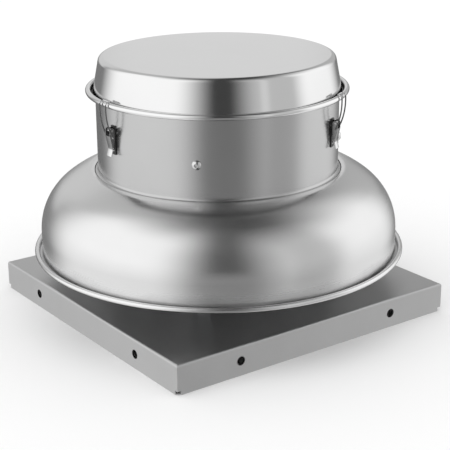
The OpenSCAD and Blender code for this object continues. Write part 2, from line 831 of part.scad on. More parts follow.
// Waisted rubber mounts with a hole for the bolt
module isolators() {
    groove_r = isolator_groove_r * isolator_h;
    groove_h = isolator_groove_h * isolator_h;
    color("dimgray")
        isolator_places(deck_top)
            rotate_extrude()
                difference() {
                    translate([hole_d(isolator_bolt_d) / 2, 0])
                        square([isolator_r - hole_d(isolator_bolt_d) / 2, isolator_h]);
                    translate([(1 - isolator_waist) * isolator_r + groove_r, isolator_h / 2])
                        circle(groove_r, $fn = 48);
                    translate([isolator_r - isolator_rim, (isolator_h - groove_h) / 2])
                        square([2 * isolator_rim, groove_h]);
                }
}

module isolator_bolts() {
    color("lightsteelblue") {
        isolator_places(cradle_z + cradle_t)
            hex_bolt(isolator_bolt_d, deck_t + isolator_h + cradle_t + thread_out * isolator_bolt_d);
        isolator_places(deck_z - nut_h * isolator_bolt_d)
            hex_nut(isolator_bolt_d);
    }
}

// Cross-shaped plate between the isolators and the motor
module motor_cradle() {
    arm_w = 2 * (isolator_r + cradle_rim);
    color("slategray")
        difference() {
            translate([0, 0, cradle_z])
                union() {
                    cylinder(r = motor_r + cradle_rim, h = cradle_t);
                    for (a = [0, 90])
                        rotate([0, 0, a])
                            translate([-isolator_ring_r, -arm_w / 2, 0])
                                cube([2 * isolator_ring_r, arm_w, cradle_t]);
                    for (a = [0, 90, 180, 270])
                        rotate([0, 0, a])
                            translate([isolator_ring_r, 0, 0])
                                cylinder(r = arm_w / 2, h = cradle_t);
                }
            translate([0, 0, cradle_z - over])
                cylinder(r = boss_r + cradle_hole_gap, h = cradle_t + 2 * over);
            isolator_places(cradle_z - over)
                cylinder(d = hole_d(isolator_bolt_d), h = cradle_t + 2 * over);
            at_corners(motor_bolt_r, cradle_z - over)
                cylinder(d = hole_d(motor_bolt_d), h = cradle_t + 2 * over);
        }
}

module motor_shell() {
    color("darkslategray")
        translate([0, 0, shell_z])
            difference() {
                cylinder(r = motor_r, h = motor_shell_h);
                translate([0, 0, -over])
                    cylinder(r = motor_r - motor_shell_t, h = motor_shell_h + 2 * over);
            }
}

// Cast end bell as a cup: floor, rim and a bearing boss, with a ring of air slots in the floor
module end_bell(h, boss_h) {
    difference() {
        union() {
            difference() {
                cylinder(r = motor_r, h = h);
                translate([0, 0, bell_floor_t])
                    cylinder(r = motor_r - bell_rim_w, h = h);
            }
            translate([0, 0, -boss_h])
                cylinder(r = boss_r, h = boss_h + h - bearing_sink);
        }
        translate([0, 0, -boss_h - over])
            cylinder(r = bearing_r, h = boss_h + h + 2 * over);
        at_corners(motor_bolt_r)
            translate([0, 0, -over])
                cylinder(d = hole_d(motor_bolt_d), h = h + 2 * over);
        for (i = [0 : bell_slot_n - 1])
            rotate([0, 0, (i + 0.5) * 360 / bell_slot_n])
                translate([bell_slot_r, 0, -over])
                    union() {
                        translate([-bell_slot_l / 2, -bell_slot_w / 2, 0])
                            cube([bell_slot_l, bell_slot_w, bell_floor_t + 2 * over]);
                        for (s = [-1, 1])
                            translate([s * bell_slot_l / 2, 0, 0])
                                cylinder(d = bell_slot_w, h = bell_floor_t + 2 * over);
                    }
    }
}

module lower_end_bell() {
    color("gray")
        translate([0, 0, motor_z])
            end_bell(lower_bell_h, lower_boss_h);
}

module upper_end_bell() {
    color("gray")
        translate([0, 0, motor_top])
            rotate([180, 0, 0])
                end_bell(upper_bell_h, upper_boss_h);
}

module sleeve_bearing(z, h) {
    color("peru")
        translate([0, 0, z])
            difference() {
                cylinder(r = bearing_r - press_gap, h = h);
                translate([0, 0, -over])
                    cylinder(r = shaft_r + bearing_clear, h = h + 2 * over);
            }
}

module lower_bearing() sleeve_bearing(motor_z - lower_boss_h, lower_boss_h + lower_bell_h - bearing_sink);
module upper_bearing() sleeve_bearing(motor_top - upper_bell_h + bearing_sink,
    upper_boss_h + upper_bell_h - bearing_sink);

module stator_core() {
    color("silver")
        translate([0, 0, core_z])
            difference() {
                cylinder(r = motor_r - motor_shell_t - press_gap, h = core_h);
                translate([0, 0, -over])
                    cylinder(r = rotor_r + air_gap, h = core_h + 2 * over);
                at_corners(motor_bolt_r)
                    translate([0, 0, -over])
                        cylinder(d = hole_d(motor_bolt_d), h = core_h + 2 * over);
            }
}

// The two rings of end turns above and below the stator's core
module stator_windings() {
    color("sienna")
        for (z = [core_z - winding_h, core_z + core_h])
            translate([0, 0, z])
                difference() {
                    cylinder(r = motor_bolt_r - motor_bolt_d, h = winding_h);
                    translate([0, 0, -over])
                        cylinder(r = rotor_r + air_gap + winding_gap, h = winding_h + 2 * over);
                }
}

module motor_bolts() {
    color("lightsteelblue")
        at_corners(motor_bolt_r) {
            translate([0, 0, motor_top])
                hex_bolt(motor_bolt_d, motor_top - cradle_z + thread_out * motor_bolt_d);
            translate([0, 0, cradle_z - nut_h * motor_bolt_d])
                hex_nut(motor_bolt_d);
        }
}

// Shaft with a collar that runs on the lower bearing
module motor_shaft() {
    low = hub_low + shaft_in;
    collar_z = motor_z + lower_bell_h - bearing_sink + collar_gap;
    color("lightgray") {
        translate([0, 0, low])
            cylinder(r = shaft_r, h = motor_top - collar_gap - low);
        translate([0, 0, collar_z])
            cylinder(r = shaft_r + collar_w, h = core_z - collar_z + fuse);
    }
}

module rotor_core() {
    color("gray")
        translate([0, 0, core_z])
            difference() {
                cylinder(r = rotor_r, h = core_h);
                translate([0, 0, -over])
                    cylinder(r = shaft_r + press_gap, h = core_h + 2 * over);
            }
}

// Cast hub: flange under the back plate and a barrel round the shaft
module wheel_hub() {
    color("darkgray")
        difference() {
            union() {
                translate([0, 0, hub_z])
                    cylinder(r = hub_flange_r, h = hub_flange_t);
                translate([0, 0, hub_low])
                    cylinder(r = hub_r, h = hub_h + fuse);
                translate([0, 0, hub_z - hub_cone_h])
                    cylinder(r1 = hub_r, r2 = hub_r + hub_cone_w, h = hub_cone_h + fuse);
            }
            translate([0, 0, hub_low - over])
                cylinder(r = shaft_r + press_gap, h = hub_h + hub_flange_t + 2 * over);
            hub_rivet_places(hub_z - over)
                cylinder(d = hub_rivet_d + 2 * rivet_gap, h = hub_flange_t + 2 * over);
            set_screw_places()
                cylinder(d = set_screw_d + rivet_gap, h = hub_r);
        }
}

module hub_rivet_places(z) {
    for (i = [0 : hub_rivet_n - 1])
        rotate([0, 0, i * 360 / hub_rivet_n])
            translate([(hub_r + hub_cone_w + hub_flange_r) / 2, 0, z])
                children();
}

module set_screw_places() {
    for (a = [0, 90])
        rotate([0, 0, a])
            translate([shaft_r + rivet_gap, 0, hub_low + set_screw_z])
                rotate([0, 90, 0])
                    children();
}

module hub_rivets() {
    color("lightgray")
        hub_rivet_places(0) {
            translate([0, 0, hub_z])
                rotate([180, 0, 0])
                    rivet_head(rivet_head_r * hub_rivet_d, rivet_head_h * hub_rivet_d);
            translate([0, 0, hub_z - fuse])
                cylinder(d = hub_rivet_d, h = hub_flange_t + back_t + 2 * fuse);
            translate([0, 0, back_z])
                rivet_head(rivet_head_r * hub_rivet_d, rivet_head_h * hub_rivet_d);
        }
}

module hub_set_screws() {
    color("dimgray")
        set_screw_places()
            difference() {
                cylinder(d = set_screw_d, h = hub_r - shaft_r - set_screw_sink);
                translate([0, 0, hub_r - shaft_r - set_screw_sink - set_screw_socket_h])
                    cylinder(d = set_screw_socket_d, h = set_screw_socket_h + over, $fn = 6);
            }
}

module wheel_back_plate() {
    color("silver")
        translate([0, 0, blade_top])
            difference() {
                cylinder(r = wheel_r, h = back_t);
                translate([0, 0, -over])
                    cylinder(r = hub_r, h = back_t + 2 * over);
                hub_rivet_places(-over)
                    cylinder(d = hub_rivet_d + 2 * rivet_gap, h = back_t + 2 * over);
            }
}

// Space below the inlet ring's air side and ahead of the slanted leading edges
module blade_trim() {
    tip_r = wheel_r + trim_out;
    tip_z = ring_tip[1] + (tip_r - ring_tip[0]) * tan(ring_slope);
    under = [for (p = ring_arc(ring_curve_r + blade_gap)) if (p[0] > ring_r + trim_in) p];
    rotate_extrude()
        polygon(concat([[0, ring_z - over], [0, blade_top + over], [blade_in_r, blade_top + over]], under,
            [[tip_r, tip_z], [tip_r, ring_z - over]]));
}

// Backward-curved blade, a strip of a tall cylinder between two radii of the wheel
module blade() {
    tip_r = wheel_r - blade_tip_in;
    root = [blade_in_r, 0];
    tip = tip_r * [cos(blade_sweep), sin(blade_sweep)];
    half = norm(tip - root) / 2;
    along = (tip - root) / (2 * half);
    centre = (root + tip) / 2 + sqrt(blade_curve_r * blade_curve_r - half * half) * [along[1], -along[0]];
    from = atan2(root[1] - centre[1], root[0] - centre[0]);
    turn = -2 * asin(half / blade_curve_r);
    translate([centre[0], centre[1], ring_z])
        rotate([0, 0, from + turn])
            rotate_extrude(angle = -turn)
                translate([blade_curve_r - blade_t / 2, 0])
                    square([blade_t, blade_top - ring_z]);
}

module wheel_blades() {
    color("lightgray")
        for (i = [0 : blade_n - 1])
            rotate([0, 0, i * 360 / blade_n])
                difference() {
                    blade();
                    blade_trim();
                }
}

// Spun inlet ring: straight lip round the venturi, a curve, then a shallow cone out to the rim
module wheel_inlet_ring() {
    tip_z = ring_tip[1] + (wheel_r - ring_tip[0]) * tan(ring_slope);
    under = ring_arc(ring_curve_r - ring_t);
    color("silver")
        rotate_extrude()
            polygon(concat([[ring_r, ring_z]], ring_arc(ring_curve_r),
                [[wheel_r, tip_z], [wheel_r, tip_z - ring_t / cos(ring_slope)]],
                [for (i = [curve_n : -1 : 0]) under[i]], [[ring_r + ring_t, ring_z]]));
}

// Sheet box with a side hole for the wires and two posts for the cover's screws
module switch_box() {
    color("slategray") {
        translate([-switch_w / 2, switch_in, deck_top])
            difference() {
                cube([switch_w, switch_d, switch_h]);
                translate([switch_plate_t, switch_plate_t, switch_plate_t])
                    cube([switch_w - 2 * switch_plate_t, switch_d - 2 * switch_plate_t, switch_h]);
                translate([switch_w - switch_plate_t - over, switch_d / 2, switch_hole_z])
                    rotate([0, 90, 0])
                        cylinder(r = switch_hole_r, h = switch_plate_t + 2 * over);
            }
        for (s = [-1, 1])
            translate([s * switch_post_x, switch_y, switch_top - switch_post_h])
                difference() {
                    translate([-switch_post_w / 2, -switch_post_w / 2, 0])
                        cube([switch_post_w, switch_post_w, switch_post_h]);
                    translate([0, 0, over])
                        cylinder(d = switch_screw_d + 2 * rivet_gap, h = switch_post_h);
                }
    }
}

module switch_cover() {
    color("lightgray")
        translate([0, switch_y, switch_top])
            difference() {
                translate([-switch_w / 2, -switch_d / 2, 0])
                    cube([switch_w, switch_d, switch_plate_t]);
                translate([-switch_slot[0] / 2, -switch_slot[1] / 2, -over])
                    cube([switch_slot[0], switch_slot[1], switch_plate_t + 2 * over]);
                for (s = [-1, 1])
                    translate([s * switch_post_x, 0, -over])
                        cylinder(d = switch_screw_d + 4 * rivet_gap, h = switch_plate_t + 2 * over);
            }
}

module switch_screws() {
    color("lightsteelblue")
        for (s = [-1, 1])
            translate([s * switch_post_x, switch_y, switch_top + switch_plate_t])
                difference() {
                    union() {
                        rivet_head(switch_screw_d, switch_screw_head_h);
                        translate([0, 0, over - switch_post_h])
                            cylinder(d = switch_screw_d, h = switch_post_h - over + fuse);
                    }
                    translate([-switch_screw_d - over, -switch_screw_slot_w / 2,
                        switch_screw_head_h - switch_screw_slot_h])
                        cube([2 * (switch_screw_d + over), switch_screw_slot_w, switch_screw_head_h]);
                }
}

// Block under the cover plate, with a pocket and a pin for the toggle
module switch_body() {
    pocket_w = toggle_w + 2 * cheek_gap;
    color("saddlebrown")
        translate([0, switch_y, 0]) {
            difference() {
                translate([-switch_body_size[0] / 2, -switch_body_size[1] / 2, switch_top])
                    mirror([0, 0, 1])
                        cube(switch_body_size);
                translate([-pocket_w / 2, -2 * toggle_r, toggle_z - toggle_r - over])
                    cube([pocket_w, 4 * toggle_r, toggle_r + toggle_sink + 2 * over]);
            }
            translate([-pocket_w / 2 - over, 0, toggle_z])
                rotate([0, 90, 0])
                    cylinder(d = toggle_pin_d, h = pocket_w + 2 * over);
        }
}

// Bat-shaped toggle that rocks on the switch body's pin
module switch_toggle() {
    color("black")
        translate([0, switch_y, toggle_z])
            rotate([toggle_tilt, 0, 0])
                difference() {
                    union() {
                        cylinder(r1 = toggle_r - 1, r2 = toggle_r, h = toggle_l);
                        translate([0, 0, toggle_l])
                            sphere(r = toggle_r);
                        rotate([0, 90, 0])
                            translate([0, 0, -toggle_w / 2])
                                cylinder(r = toggle_r, h = toggle_w);
                    }
                    rotate([0, 90, 0])
                        translate([0, 0, -toggle_w])
                            cylinder(d = toggle_pin_d + 2 * pivot_clear, h = 2 * toggle_w);
                }
}

module tube_place(z) {
    rotate([0, 0, tube_a])
        translate([tube_pos_r, 0, z])
            children();
}

// Tube for the supply wires and the motor's breathing air
module wiring_tube() {
    color("lightsteelblue")
        tube_place(tube_low)
            difference() {
                cylinder(r = tube_r, h = tube_high - tube_low);
                translate([0, 0, -over])
                    cylinder(r = tube_r - tube_t, h = tube_high - tube_low + 2 * over);
            }
}

module tube_locknuts() {
    color("lightgray")
        for (z = [cap_h - cap_t - locknut_h, cap_h, deck_z - band_t - locknut_h, deck_top])
            tube_place(z)
                difference() {
                    cylinder(r = tube_r + locknut_w, h = locknut_h, $fn = 8);
                    translate([0, 0, -over])
                        cylinder(r = tube_r + press_gap, h = locknut_h + 2 * over);
                }
}

// Spun lid: crowned top, rounded corner, tapered wall, and a brim that ends in an upturned bead
module motor_cover() {
    corner_c = [corner_r, corner_z];
    dome_c = [0, cover_top - crown_top_r];
    wall_a = 90 - cover_taper;
    inner = concat(arc_pts(dome_c, crown_top_r - cover_t, 0, crown_top_a, crown_n),
        arc_pts(corner_c, cover_corner_r - cover_t, crown_top_a, wall_a, corner_n),
        [[cover_wall_r(brim_z) - cover_t / cos(cover_taper), brim_z]]);
    outer = concat([[cover_wall_r(brim_z + cover_t), brim_z + cover_t]],
        arc_pts(corner_c, cover_corner_r, wall_a, crown_top_a, corner_n),
        arc_pts(dome_c, crown_top_r, crown_top_a, 0, crown_n));
    color("whitesmoke")
        rotate_extrude()
            polygon(concat(inner, rolled_bead([bead_r, bead_z], cover_bead_r, cover_t), outer));
}

// Latch parts are drawn with X outwards from the fan's axis and Y along the shroud
module at_latch(k) {
    rotate([0, 0, latch_angles[k - 1]])
        children();
}

module latch_rivet_places(k) {
    at_latch(k)
        for (z = latch_rivet_zs)
            translate([plate_r, 0, plate_z + z])
                rotate([0, 90, 0])
                    children();
}

// Base plate with two ears that hold the pivot pin
module latch_base(k) {
    color("gainsboro")
        difference() {
            at_latch(k) {
                translate([plate_r, -latch_base_w / 2, plate_z])
                    cube([latch_t, latch_base_w, latch_base_h]);
                for (s = [-1, 1])
                    translate([0, s * (ear_in + latch_t / 2) - latch_t / 2, pivot_z])
                        difference() {
                            union() {
                                translate([plate_r + latch_t / 2, 0, -ear_r])
                                    cube([pivot_r - plate_r - latch_t / 2, latch_t, 2 * ear_r]);
                                translate([pivot_r, latch_t, 0])
                                    rotate([90, 0, 0])
                                        cylinder(r = ear_r, h = latch_t);
                            }
                            translate([pivot_r, latch_t + over, 0])
                                rotate([90, 0, 0])
                                    cylinder(d = latch_pin_d + 2 * press_gap, h = latch_t + 2 * over);
                        }
            }
            latch_rivet_places(k)
                translate([0, 0, -over])
                    cylinder(d = latch_rivet_d + 2 * rivet_gap, h = latch_t + 2 * over);
        }
}

// Handle: two side cheeks on the pivot pin, joined by one bent strip that ends in a finger tab
module latch_lever(k) {
    web_w = 2 * (lever_out - web_inset);
    slope = atan2(web_lean, lever_l - web_top);
    web_start = [web_x + web_lip, -web_top];
    web_end = web_start - (lever_l - web_top) * [tan(slope), 1];
    finger_end = web_end + finger_l * [cos(finger_a), -sin(finger_a)];
    inward = [-cos(slope), sin(slope)];
    under = [-sin(finger_a), -cos(finger_a)];
    bend = web_end + latch_t * (inward + under) / (1 + inward * under);
    strip = [web_start, web_end, finger_end, finger_end + latch_t * under, bend, web_start + latch_t * inward];
    cheek = [[-cheek_r, 0], [-cheek_r, -latch_throw - cheek_r], [-web_x / 2, cheek_r - lever_l],
        [-web_lip, cheek_r - lever_l], [web_x, -web_top], [cheek_r, 0]];
    color("whitesmoke")
        at_latch(k)
            translate([pivot_r, 0, pivot_z])
                difference() {
                    union() {
                        for (s = [-1, 1])
                            translate([0, s * (lever_in + latch_t / 2) + latch_t / 2, 0])
                                rotate([90, 0, 0])
                                    linear_extrude(latch_t)
                                        union() {
                                            circle(r = cheek_r);
                                            polygon(cheek);
                                        }
                        translate([0, web_w / 2, 0])
                            rotate([90, 0, 0])
                                linear_extrude(web_w)
                                    polygon(strip);
                    }
                    rotate([90, 0, 0])
                        translate([0, 0, -lever_out - over])
                            cylinder(d = latch_pin_d + 2 * pivot_clear, h = 2 * lever_out + 2 * over);
                    translate([0, 0, -latch_throw])
                        rotate([90, 0, 0])
                            translate([0, 0, -lever_out - over])
                                cylinder(d = bail_d + 2 * pivot_clear, h = 2 * lever_out + 2 * over);
                }
}

// Wire bail: two legs bowed round the cover's bead, with turned-in ends in the lever's cheeks
module latch_bail(k) {
    bow = [for (i = [0 : bow_n]) [bow_r - bow_curve_r * (1 - cos(bow_a * (1 - i / bow_n))), bail_y,
        bow_z - bow_curve_r * sin(bow_a * (1 - i / bow_n))]];
    legs = concat(bow, [[bow_r, bail_y, bead_z + bow_top], [bow_r - crook_in, bail_y, bead_z + crook_rise],
        [hook[0], bail_y, hook[1]]]);
    last = len(legs) - 1;
    color("lightgray")
        at_latch(k) {
            for (side = [0, 1])
                mirror([0, side, 0]) {
                    wire([pivot_r, lever_in, legs[0][2]], legs[0], bail_d);
                    for (i = [0 : last - 1])
                        wire(legs[i], legs[i + 1], bail_d);
                }
            wire(legs[last], [hook[0], -bail_y, hook[1]], bail_d);
        }
}

module latch_pins() {
    color("gray")
        for (k = [1 : 3])
            at_latch(k)
                translate([pivot_r, lever_out + pin_out, pivot_z])
                    rotate([90, 0, 0])
                        cylinder(d = latch_pin_d, h = 2 * (lever_out + pin_out));
}

module latch_rivets() {
    color("gainsboro")
        for (k = [1 : 3])
            latch_rivet_places(k)
                translate([0, 0, latch_t])
                    rivet(latch_rivet_d, latch_t + plate_gap + shroud_t + rivet_gap);
}

curb_cap();
inlet_venturi();
venturi_rivets();
support_leg(1);  // support_leg_1
support_leg(2);  // support_leg_2
support_leg(3);  // support_leg_3
support_leg(4);  // support_leg_4
leg_bolts();
leg_nuts();
bird_screen();
windband();
shroud();
motor_deck();
shroud_bracket(1);  // shroud_bracket_1
shroud_bracket(2);  // shroud_bracket_2
shroud_bracket(3);  // shroud_bracket_3
shroud_bracket(4);  // shroud_bracket_4
shroud_bolts();
shroud_nuts();
isolators();
isolator_bolts();
motor_cradle();
motor_shell();
lower_end_bell();
upper_end_bell();
lower_bearing();
upper_bearing();
stator_core();
stator_windings();
motor_bolts();
motor_shaft();
rotor_core();
wheel_hub();
wheel_back_plate();
wheel_blades();
wheel_inlet_ring();
hub_rivets();
hub_set_screws();
switch_box();
switch_cover();
switch_screws();
switch_body();
switch_toggle();
wiring_tube();
tube_locknuts();
motor_cover();
latch_base(1);  // latch_base_1
latch_base(2);  // latch_base_2
latch_base(3);  // latch_base_3
latch_lever(1);  // latch_lever_1
latch_lever(2);  // latch_lever_2
latch_lever(3);  // latch_lever_3
latch_bail(1);  // latch_bail_1
latch_bail(2);  // latch_bail_2
latch_bail(3);  // latch_bail_3
latch_pins();
latch_rivets();
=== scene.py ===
"""Roof exhaust fan: spun aluminium, direct drive, downblast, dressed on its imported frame.

Lengths are metres and angles degrees unless a name says otherwise. +Z is up, and the origin is
under the middle of the square curb cap, level with the lower edge of its flange.
"""

import functools
import json
import logging
import math
from dataclasses import dataclass, field
from enum import Enum
from typing import Optional, Sequence

import bpy
import numpy as np
from mathutils import Matrix, Vector

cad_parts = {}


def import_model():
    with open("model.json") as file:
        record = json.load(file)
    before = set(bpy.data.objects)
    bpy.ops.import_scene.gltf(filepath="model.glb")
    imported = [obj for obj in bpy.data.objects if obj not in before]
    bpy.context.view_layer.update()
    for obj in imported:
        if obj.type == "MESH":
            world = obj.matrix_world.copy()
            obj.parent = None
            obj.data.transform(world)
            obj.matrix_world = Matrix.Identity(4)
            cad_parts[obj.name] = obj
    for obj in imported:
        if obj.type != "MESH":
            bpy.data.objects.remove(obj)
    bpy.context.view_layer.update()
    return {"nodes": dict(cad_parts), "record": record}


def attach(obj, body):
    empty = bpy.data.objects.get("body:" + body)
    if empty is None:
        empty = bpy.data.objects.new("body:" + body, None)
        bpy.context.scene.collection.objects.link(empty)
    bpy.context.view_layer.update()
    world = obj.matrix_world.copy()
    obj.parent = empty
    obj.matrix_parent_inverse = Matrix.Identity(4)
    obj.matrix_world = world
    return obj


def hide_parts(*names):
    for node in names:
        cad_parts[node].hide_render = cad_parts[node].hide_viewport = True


LOG = logging.getLogger("roof_exhaust_fan")
MM = 0.001
SAME = 0.001 * MM
Points = np.ndarray
Colour = tuple[float, float, float]
Socket = bpy.types.NodeSocket
# Near-black that painted shade mixes towards, in hollows, at seams and round the cap's holes
SHADE_BLACK: Colour = (0.012, 0.012, 0.012)

# The flange holes' painted shade ring: distance from the middle of their side, height, and the ring's
# radius and edge
HOLE_SHADE = (158.75 * MM, 25.4 * MM, 7.4 * MM)
HOLE_SHADE_EDGE = 0.4 * MM

# The ranges in which most of a noise's values lie, and a spun finish's drift for each radian of turn
USUAL = (0.3, 0.7)
WIDE = (0.25, 0.75)
DRIFT = 0.004

# A direction that no wire starts along, and the angles of the rings that round a wire's end
FIRST_SIDE = (0.31, 0.52, 0.79)
WIRE_END = (82.0, 60.0, 35.0, 15.0)


class Grain(Enum):
    """Which way the fine lines of a metal finish run."""

    SPUN = "spun"
    SHEET = "sheet"
    NONE = "none"


# Shapes as whole arrays


def arc(centre: Sequence[float], radius: float, start: float, end: float, count: int) -> Points:
    """Points (r, z) on a circle: centre + radius * (sin a, cos a), with a from start to end in degrees."""
    a = np.radians(np.linspace(start, end, count))
    return np.stack([centre[0] + radius * np.sin(a), centre[1] + radius * np.cos(a)], axis=1)


def drop_repeats(points: Points) -> Points:
    """Leaves out each point of a closed outline that lies on the one before it."""
    return points[np.linalg.norm(points - np.roll(points, 1, axis=0), axis=1) > SAME]


def rounded(
    points: Points, radius: float | Points, steps: int = 4, closed: bool = True, least_turn: float = 25.0
) -> Points:
    """Rounds each sharp corner of an outline or path with a quadratic curve through its two tangents.

    A corner at b becomes (1-t)^2 p + 2t(1-t) b + t^2 q, where p and q lie on the two edges that meet
    there, at most radius, and at most 0.45 of an edge, from b.

    Args:
        points: Points with shape (count, 2) or (count, 3).
        radius: Distance from a corner at which its rounding starts, one for all or one for each.
        steps: Number of points laid along each rounding, less one.
        closed: Whether the last point joins the first.
        least_turn: Corners that turn less than this, in degrees, stay as they are.

    Returns:
        The rounded points.
    """
    back, ahead = np.roll(points, 1, axis=0) - points, np.roll(points, -1, axis=0) - points
    long_b, long_a = np.linalg.norm(back, axis=1), np.linalg.norm(ahead, axis=1)
    unit_b, unit_a = back / long_b[:, None], ahead / long_a[:, None]
    turn = 180 - np.degrees(np.arccos(np.clip((unit_b * unit_a).sum(1), -1, 1)))
    p = points + unit_b * np.minimum(radius, 0.45 * long_b)[:, None]
    q = points + unit_a * np.minimum(radius, 0.45 * long_a)[:, None]
    t = np.linspace(0, 1, steps + 1)[None, :, None]
    curves = (1 - t) ** 2 * p[:, None] + 2 * t * (1 - t) * points[:, None] + t**2 * q[:, None]
    keep = turn < least_turn
    if not closed:
        keep[[0, -1]] = True
    return np.concatenate([points[i : i + 1] if keep[i] else curves[i] for i in range(len(points))])


def inset(outline: Points, by: float) -> Points:
    """Moves each point of an anticlockwise outline inwards, square to the mean of its two edges.

    Args:
        outline: Points with shape (count, 2).
        by: Distance between an edge and its moved copy.

    Returns:
        The moved points.
    """
    ahead = np.roll(outline, -1, axis=0) - outline
    ahead /= np.linalg.norm(ahead, axis=1)[:, None]
    along = ahead + np.roll(ahead, 1, axis=0)
    along /= np.linalg.norm(along, axis=1)[:, None]
    inward = np.stack([-along[:, 1], along[:, 0]], axis=1)
    square = np.stack([-ahead[:, 1], ahead[:, 0]], axis=1)
    return outline + by * inward / np.maximum(0.5, (square * inward).sum(1))[:, None]


def area(outline: Points) -> float:
    """Area of a closed outline, positive where it runs anticlockwise."""
    ahead = np.roll(outline, -1, axis=0)
    return 0.5 * float(np.sum(outline[:, 0] * ahead[:, 1] - ahead[:, 0] * outline[:, 1]))


@dataclass
class Surface:
    """A closed surface as whole arrays, before it becomes an object.

    Attributes:
        points: Points with shape (count, 3).
        faces: Point numbers of each face, anticlockwise seen from outside.
        flat: Whether each face is shaded flat.
        marks: Values from 0 to 1 for each point, by the name of the attribute that a finish reads.
    """

    points: Points
    faces: list[list[int]]
    flat: list[bool]
    marks: dict[str, Points] = field(default_factory=dict)

    @classmethod
    def skin(
        cls, rings: Points, loop: bool = False, marks: Optional[dict[str, Points]] = None
    ) -> "Surface":
        """Joins rings of points by quads, with a flat lid on each end unless the rings run in a loop.

        Quad (k, s) joins points s and s+1 of ring k to the same points of ring k+1.

        Args:
            rings: Points with shape (rings, points, 3), anticlockwise about the way the rings run.
            loop: Whether the last ring joins the first.
            marks: Values for the points of one ring, or of all of them, by attribute name.

        Returns:
            The surface.
        """
        m, n = rings.shape[:2]
        k, s = np.arange(m if loop else m - 1)[:, None], np.arange(n)[None, :]
        k_next, s_next = (k + 1) % m, (s + 1) % n
        quads = [k * n + s, k * n + s_next, k_next * n + s_next, k_next * n + s]
        faces = np.stack(quads, axis=-1).reshape(-1, 4).tolist()
        flat = [False] * len(faces)
        if not loop:
            faces += [list(range(n - 1, -1, -1)), list(range((m - 1) * n, m * n))]
            flat += [True, True]
        every = {name: np.broadcast_to(value, (m, n)).ravel() for name, value in (marks or {}).items()}
        return cls(rings.reshape(-1, 3), faces, flat, every)

    @classmethod
    def turned_outline(cls, outline: Points, turns: int = 288, **marks: Points) -> "Surface":
        """Turns a closed outline about the Z axis: (r, z) becomes (r cos a, r sin a, z).

        Args:
            outline: Points with shape (count, 2).
            turns: Number of steps round the axis.
            marks: Values for the outline's points, by attribute name.

        Returns:
            The surface, a ring closed on itself.
        """
        if area(outline) > 0:
            outline = outline[::-1]
            marks = {name: value[::-1] for name, value in marks.items()}
        a = np.linspace(0, 2 * np.pi, turns, endpoint=False)[:, None]
        r, z = outline[None, :, 0], outline[None, :, 1]
        heights = np.broadcast_to(z, (turns, len(outline)))
        rings = np.stack([r * np.cos(a), r * np.sin(a), heights], axis=-1)
        return cls.skin(rings, loop=True, marks=marks)

    @classmethod
    def plate(
        cls, outline: Points, low: float, high: float, rim: float, steps: int = 4, **marks: Points
    ) -> "Surface":
        """Thickens an outline into a plate with rounded rims.

        The outline lies in X and Z and the plate runs along -Y. At angle t of a rim's quarter circle the
        outline is inset by rim * (1 - sin t) and lies rim * (1 - cos t) inside the face.

        Args:
            outline: Points (x, z) with shape (count, 2).
            low: The lower limit in Y.
            high: The upper limit in Y.
            rim: Radius of the rounded rims.
            steps: Number of rings on each rim.
            marks: Values for the outline's points, by attribute name.

        Returns:
            The surface.
        """
        if area(outline) < 0:
            outline = outline[::-1]
            marks = {name: value[::-1] for name, value in marks.items()}
        t = np.radians(np.linspace(0, 90, steps))
        depth = np.concatenate([rim * (1 - np.cos(t)), (high - low) - rim * (1 - np.cos(t[::-1]))])
        cut = rim * (1 - np.sin(np.concatenate([t, t[::-1]])))
        rings = np.zeros((len(depth), len(outline), 3))
        for ring, d, c in zip(rings, depth, cut):
            ring[:, [0, 2]] = inset(outline, c)
            ring[:, 1] = high - d
        return cls.skin(rings, marks=marks)

    @classmethod
    def wire(cls, path: Points, radius: float, sides: int = 20, **marks: Points) -> "Surface":
        """Sweeps a circle along a path and rounds both ends.

        Each ring's first direction is the one before it, made square to the path's tangent. At the ends
        the radius shrinks with cos t while the ring moves on by radius * sin t.

        Args:
            path: Points with shape (count, 3).
            radius: The wire's radius.
            sides: Number of points round the wire.
            marks: Values for the path's points, by attribute name.

        Returns:
            The surface.
        """
        tangent = np.gradient(path, axis=0)
        tangent /= np.linalg.norm(tangent, axis=1)[:, None]
        side = np.zeros_like(path)
        side[0] = np.cross(tangent[0], FIRST_SIDE)
        side[0] /= np.linalg.norm(side[0])
        for k in range(1, len(path)):
            side[k] = side[k - 1] - tangent[k] * np.dot(side[k - 1], tangent[k])
            side[k] /= np.linalg.norm(side[k])
        other = np.cross(tangent, side)
        a = np.linspace(0, 2 * np.pi, sides, endpoint=False)
        ring = np.cos(a)[None, :, None] * side[:, None] + np.sin(a)[None, :, None] * other[:, None]
        t = np.radians(WIRE_END)
        size = np.concatenate([np.cos(t), np.ones(len(path)), np.cos(t[::-1])])
        first = path[0] - tangent[0] * (radius * np.sin(t))[:, None]
        last = path[-1] + tangent[-1] * (radius * np.sin(t[::-1]))[:, None]
        middles = np.concatenate([first, path, last])
        rings = np.pad(ring, ((len(t), len(t)), (0, 0), (0, 0)), mode="edge")
        along = {name: np.pad(value, len(t), mode="edge")[:, None] for name, value in marks.items()}
        return cls.skin(middles[:, None] + radius * size[:, None, None] * rings, marks=along)

    def placed(self, axes: Sequence[Sequence[float]], origin: Sequence[float] = (0, 0, 0)) -> "Surface":
        """A copy with X, Y and Z laid along three given directions, then moved to an origin."""
        points = self.points @ np.array(axes, float) + np.array(origin)
        return Surface(points, self.faces, self.flat, self.marks)

    def moved(self, x: float, z: float) -> "Surface":
        """A copy moved along X and Z."""
        return self.placed(np.eye(3), (x, 0, z))

    def turned(self, angle: float) -> "Surface":
        """A copy turned about the Z axis by an angle in degrees."""
        c, s = math.cos(math.radians(angle)), math.sin(math.radians(angle))
        return self.placed([[c, s, 0], [-s, c, 0], [0, 0, 1]])

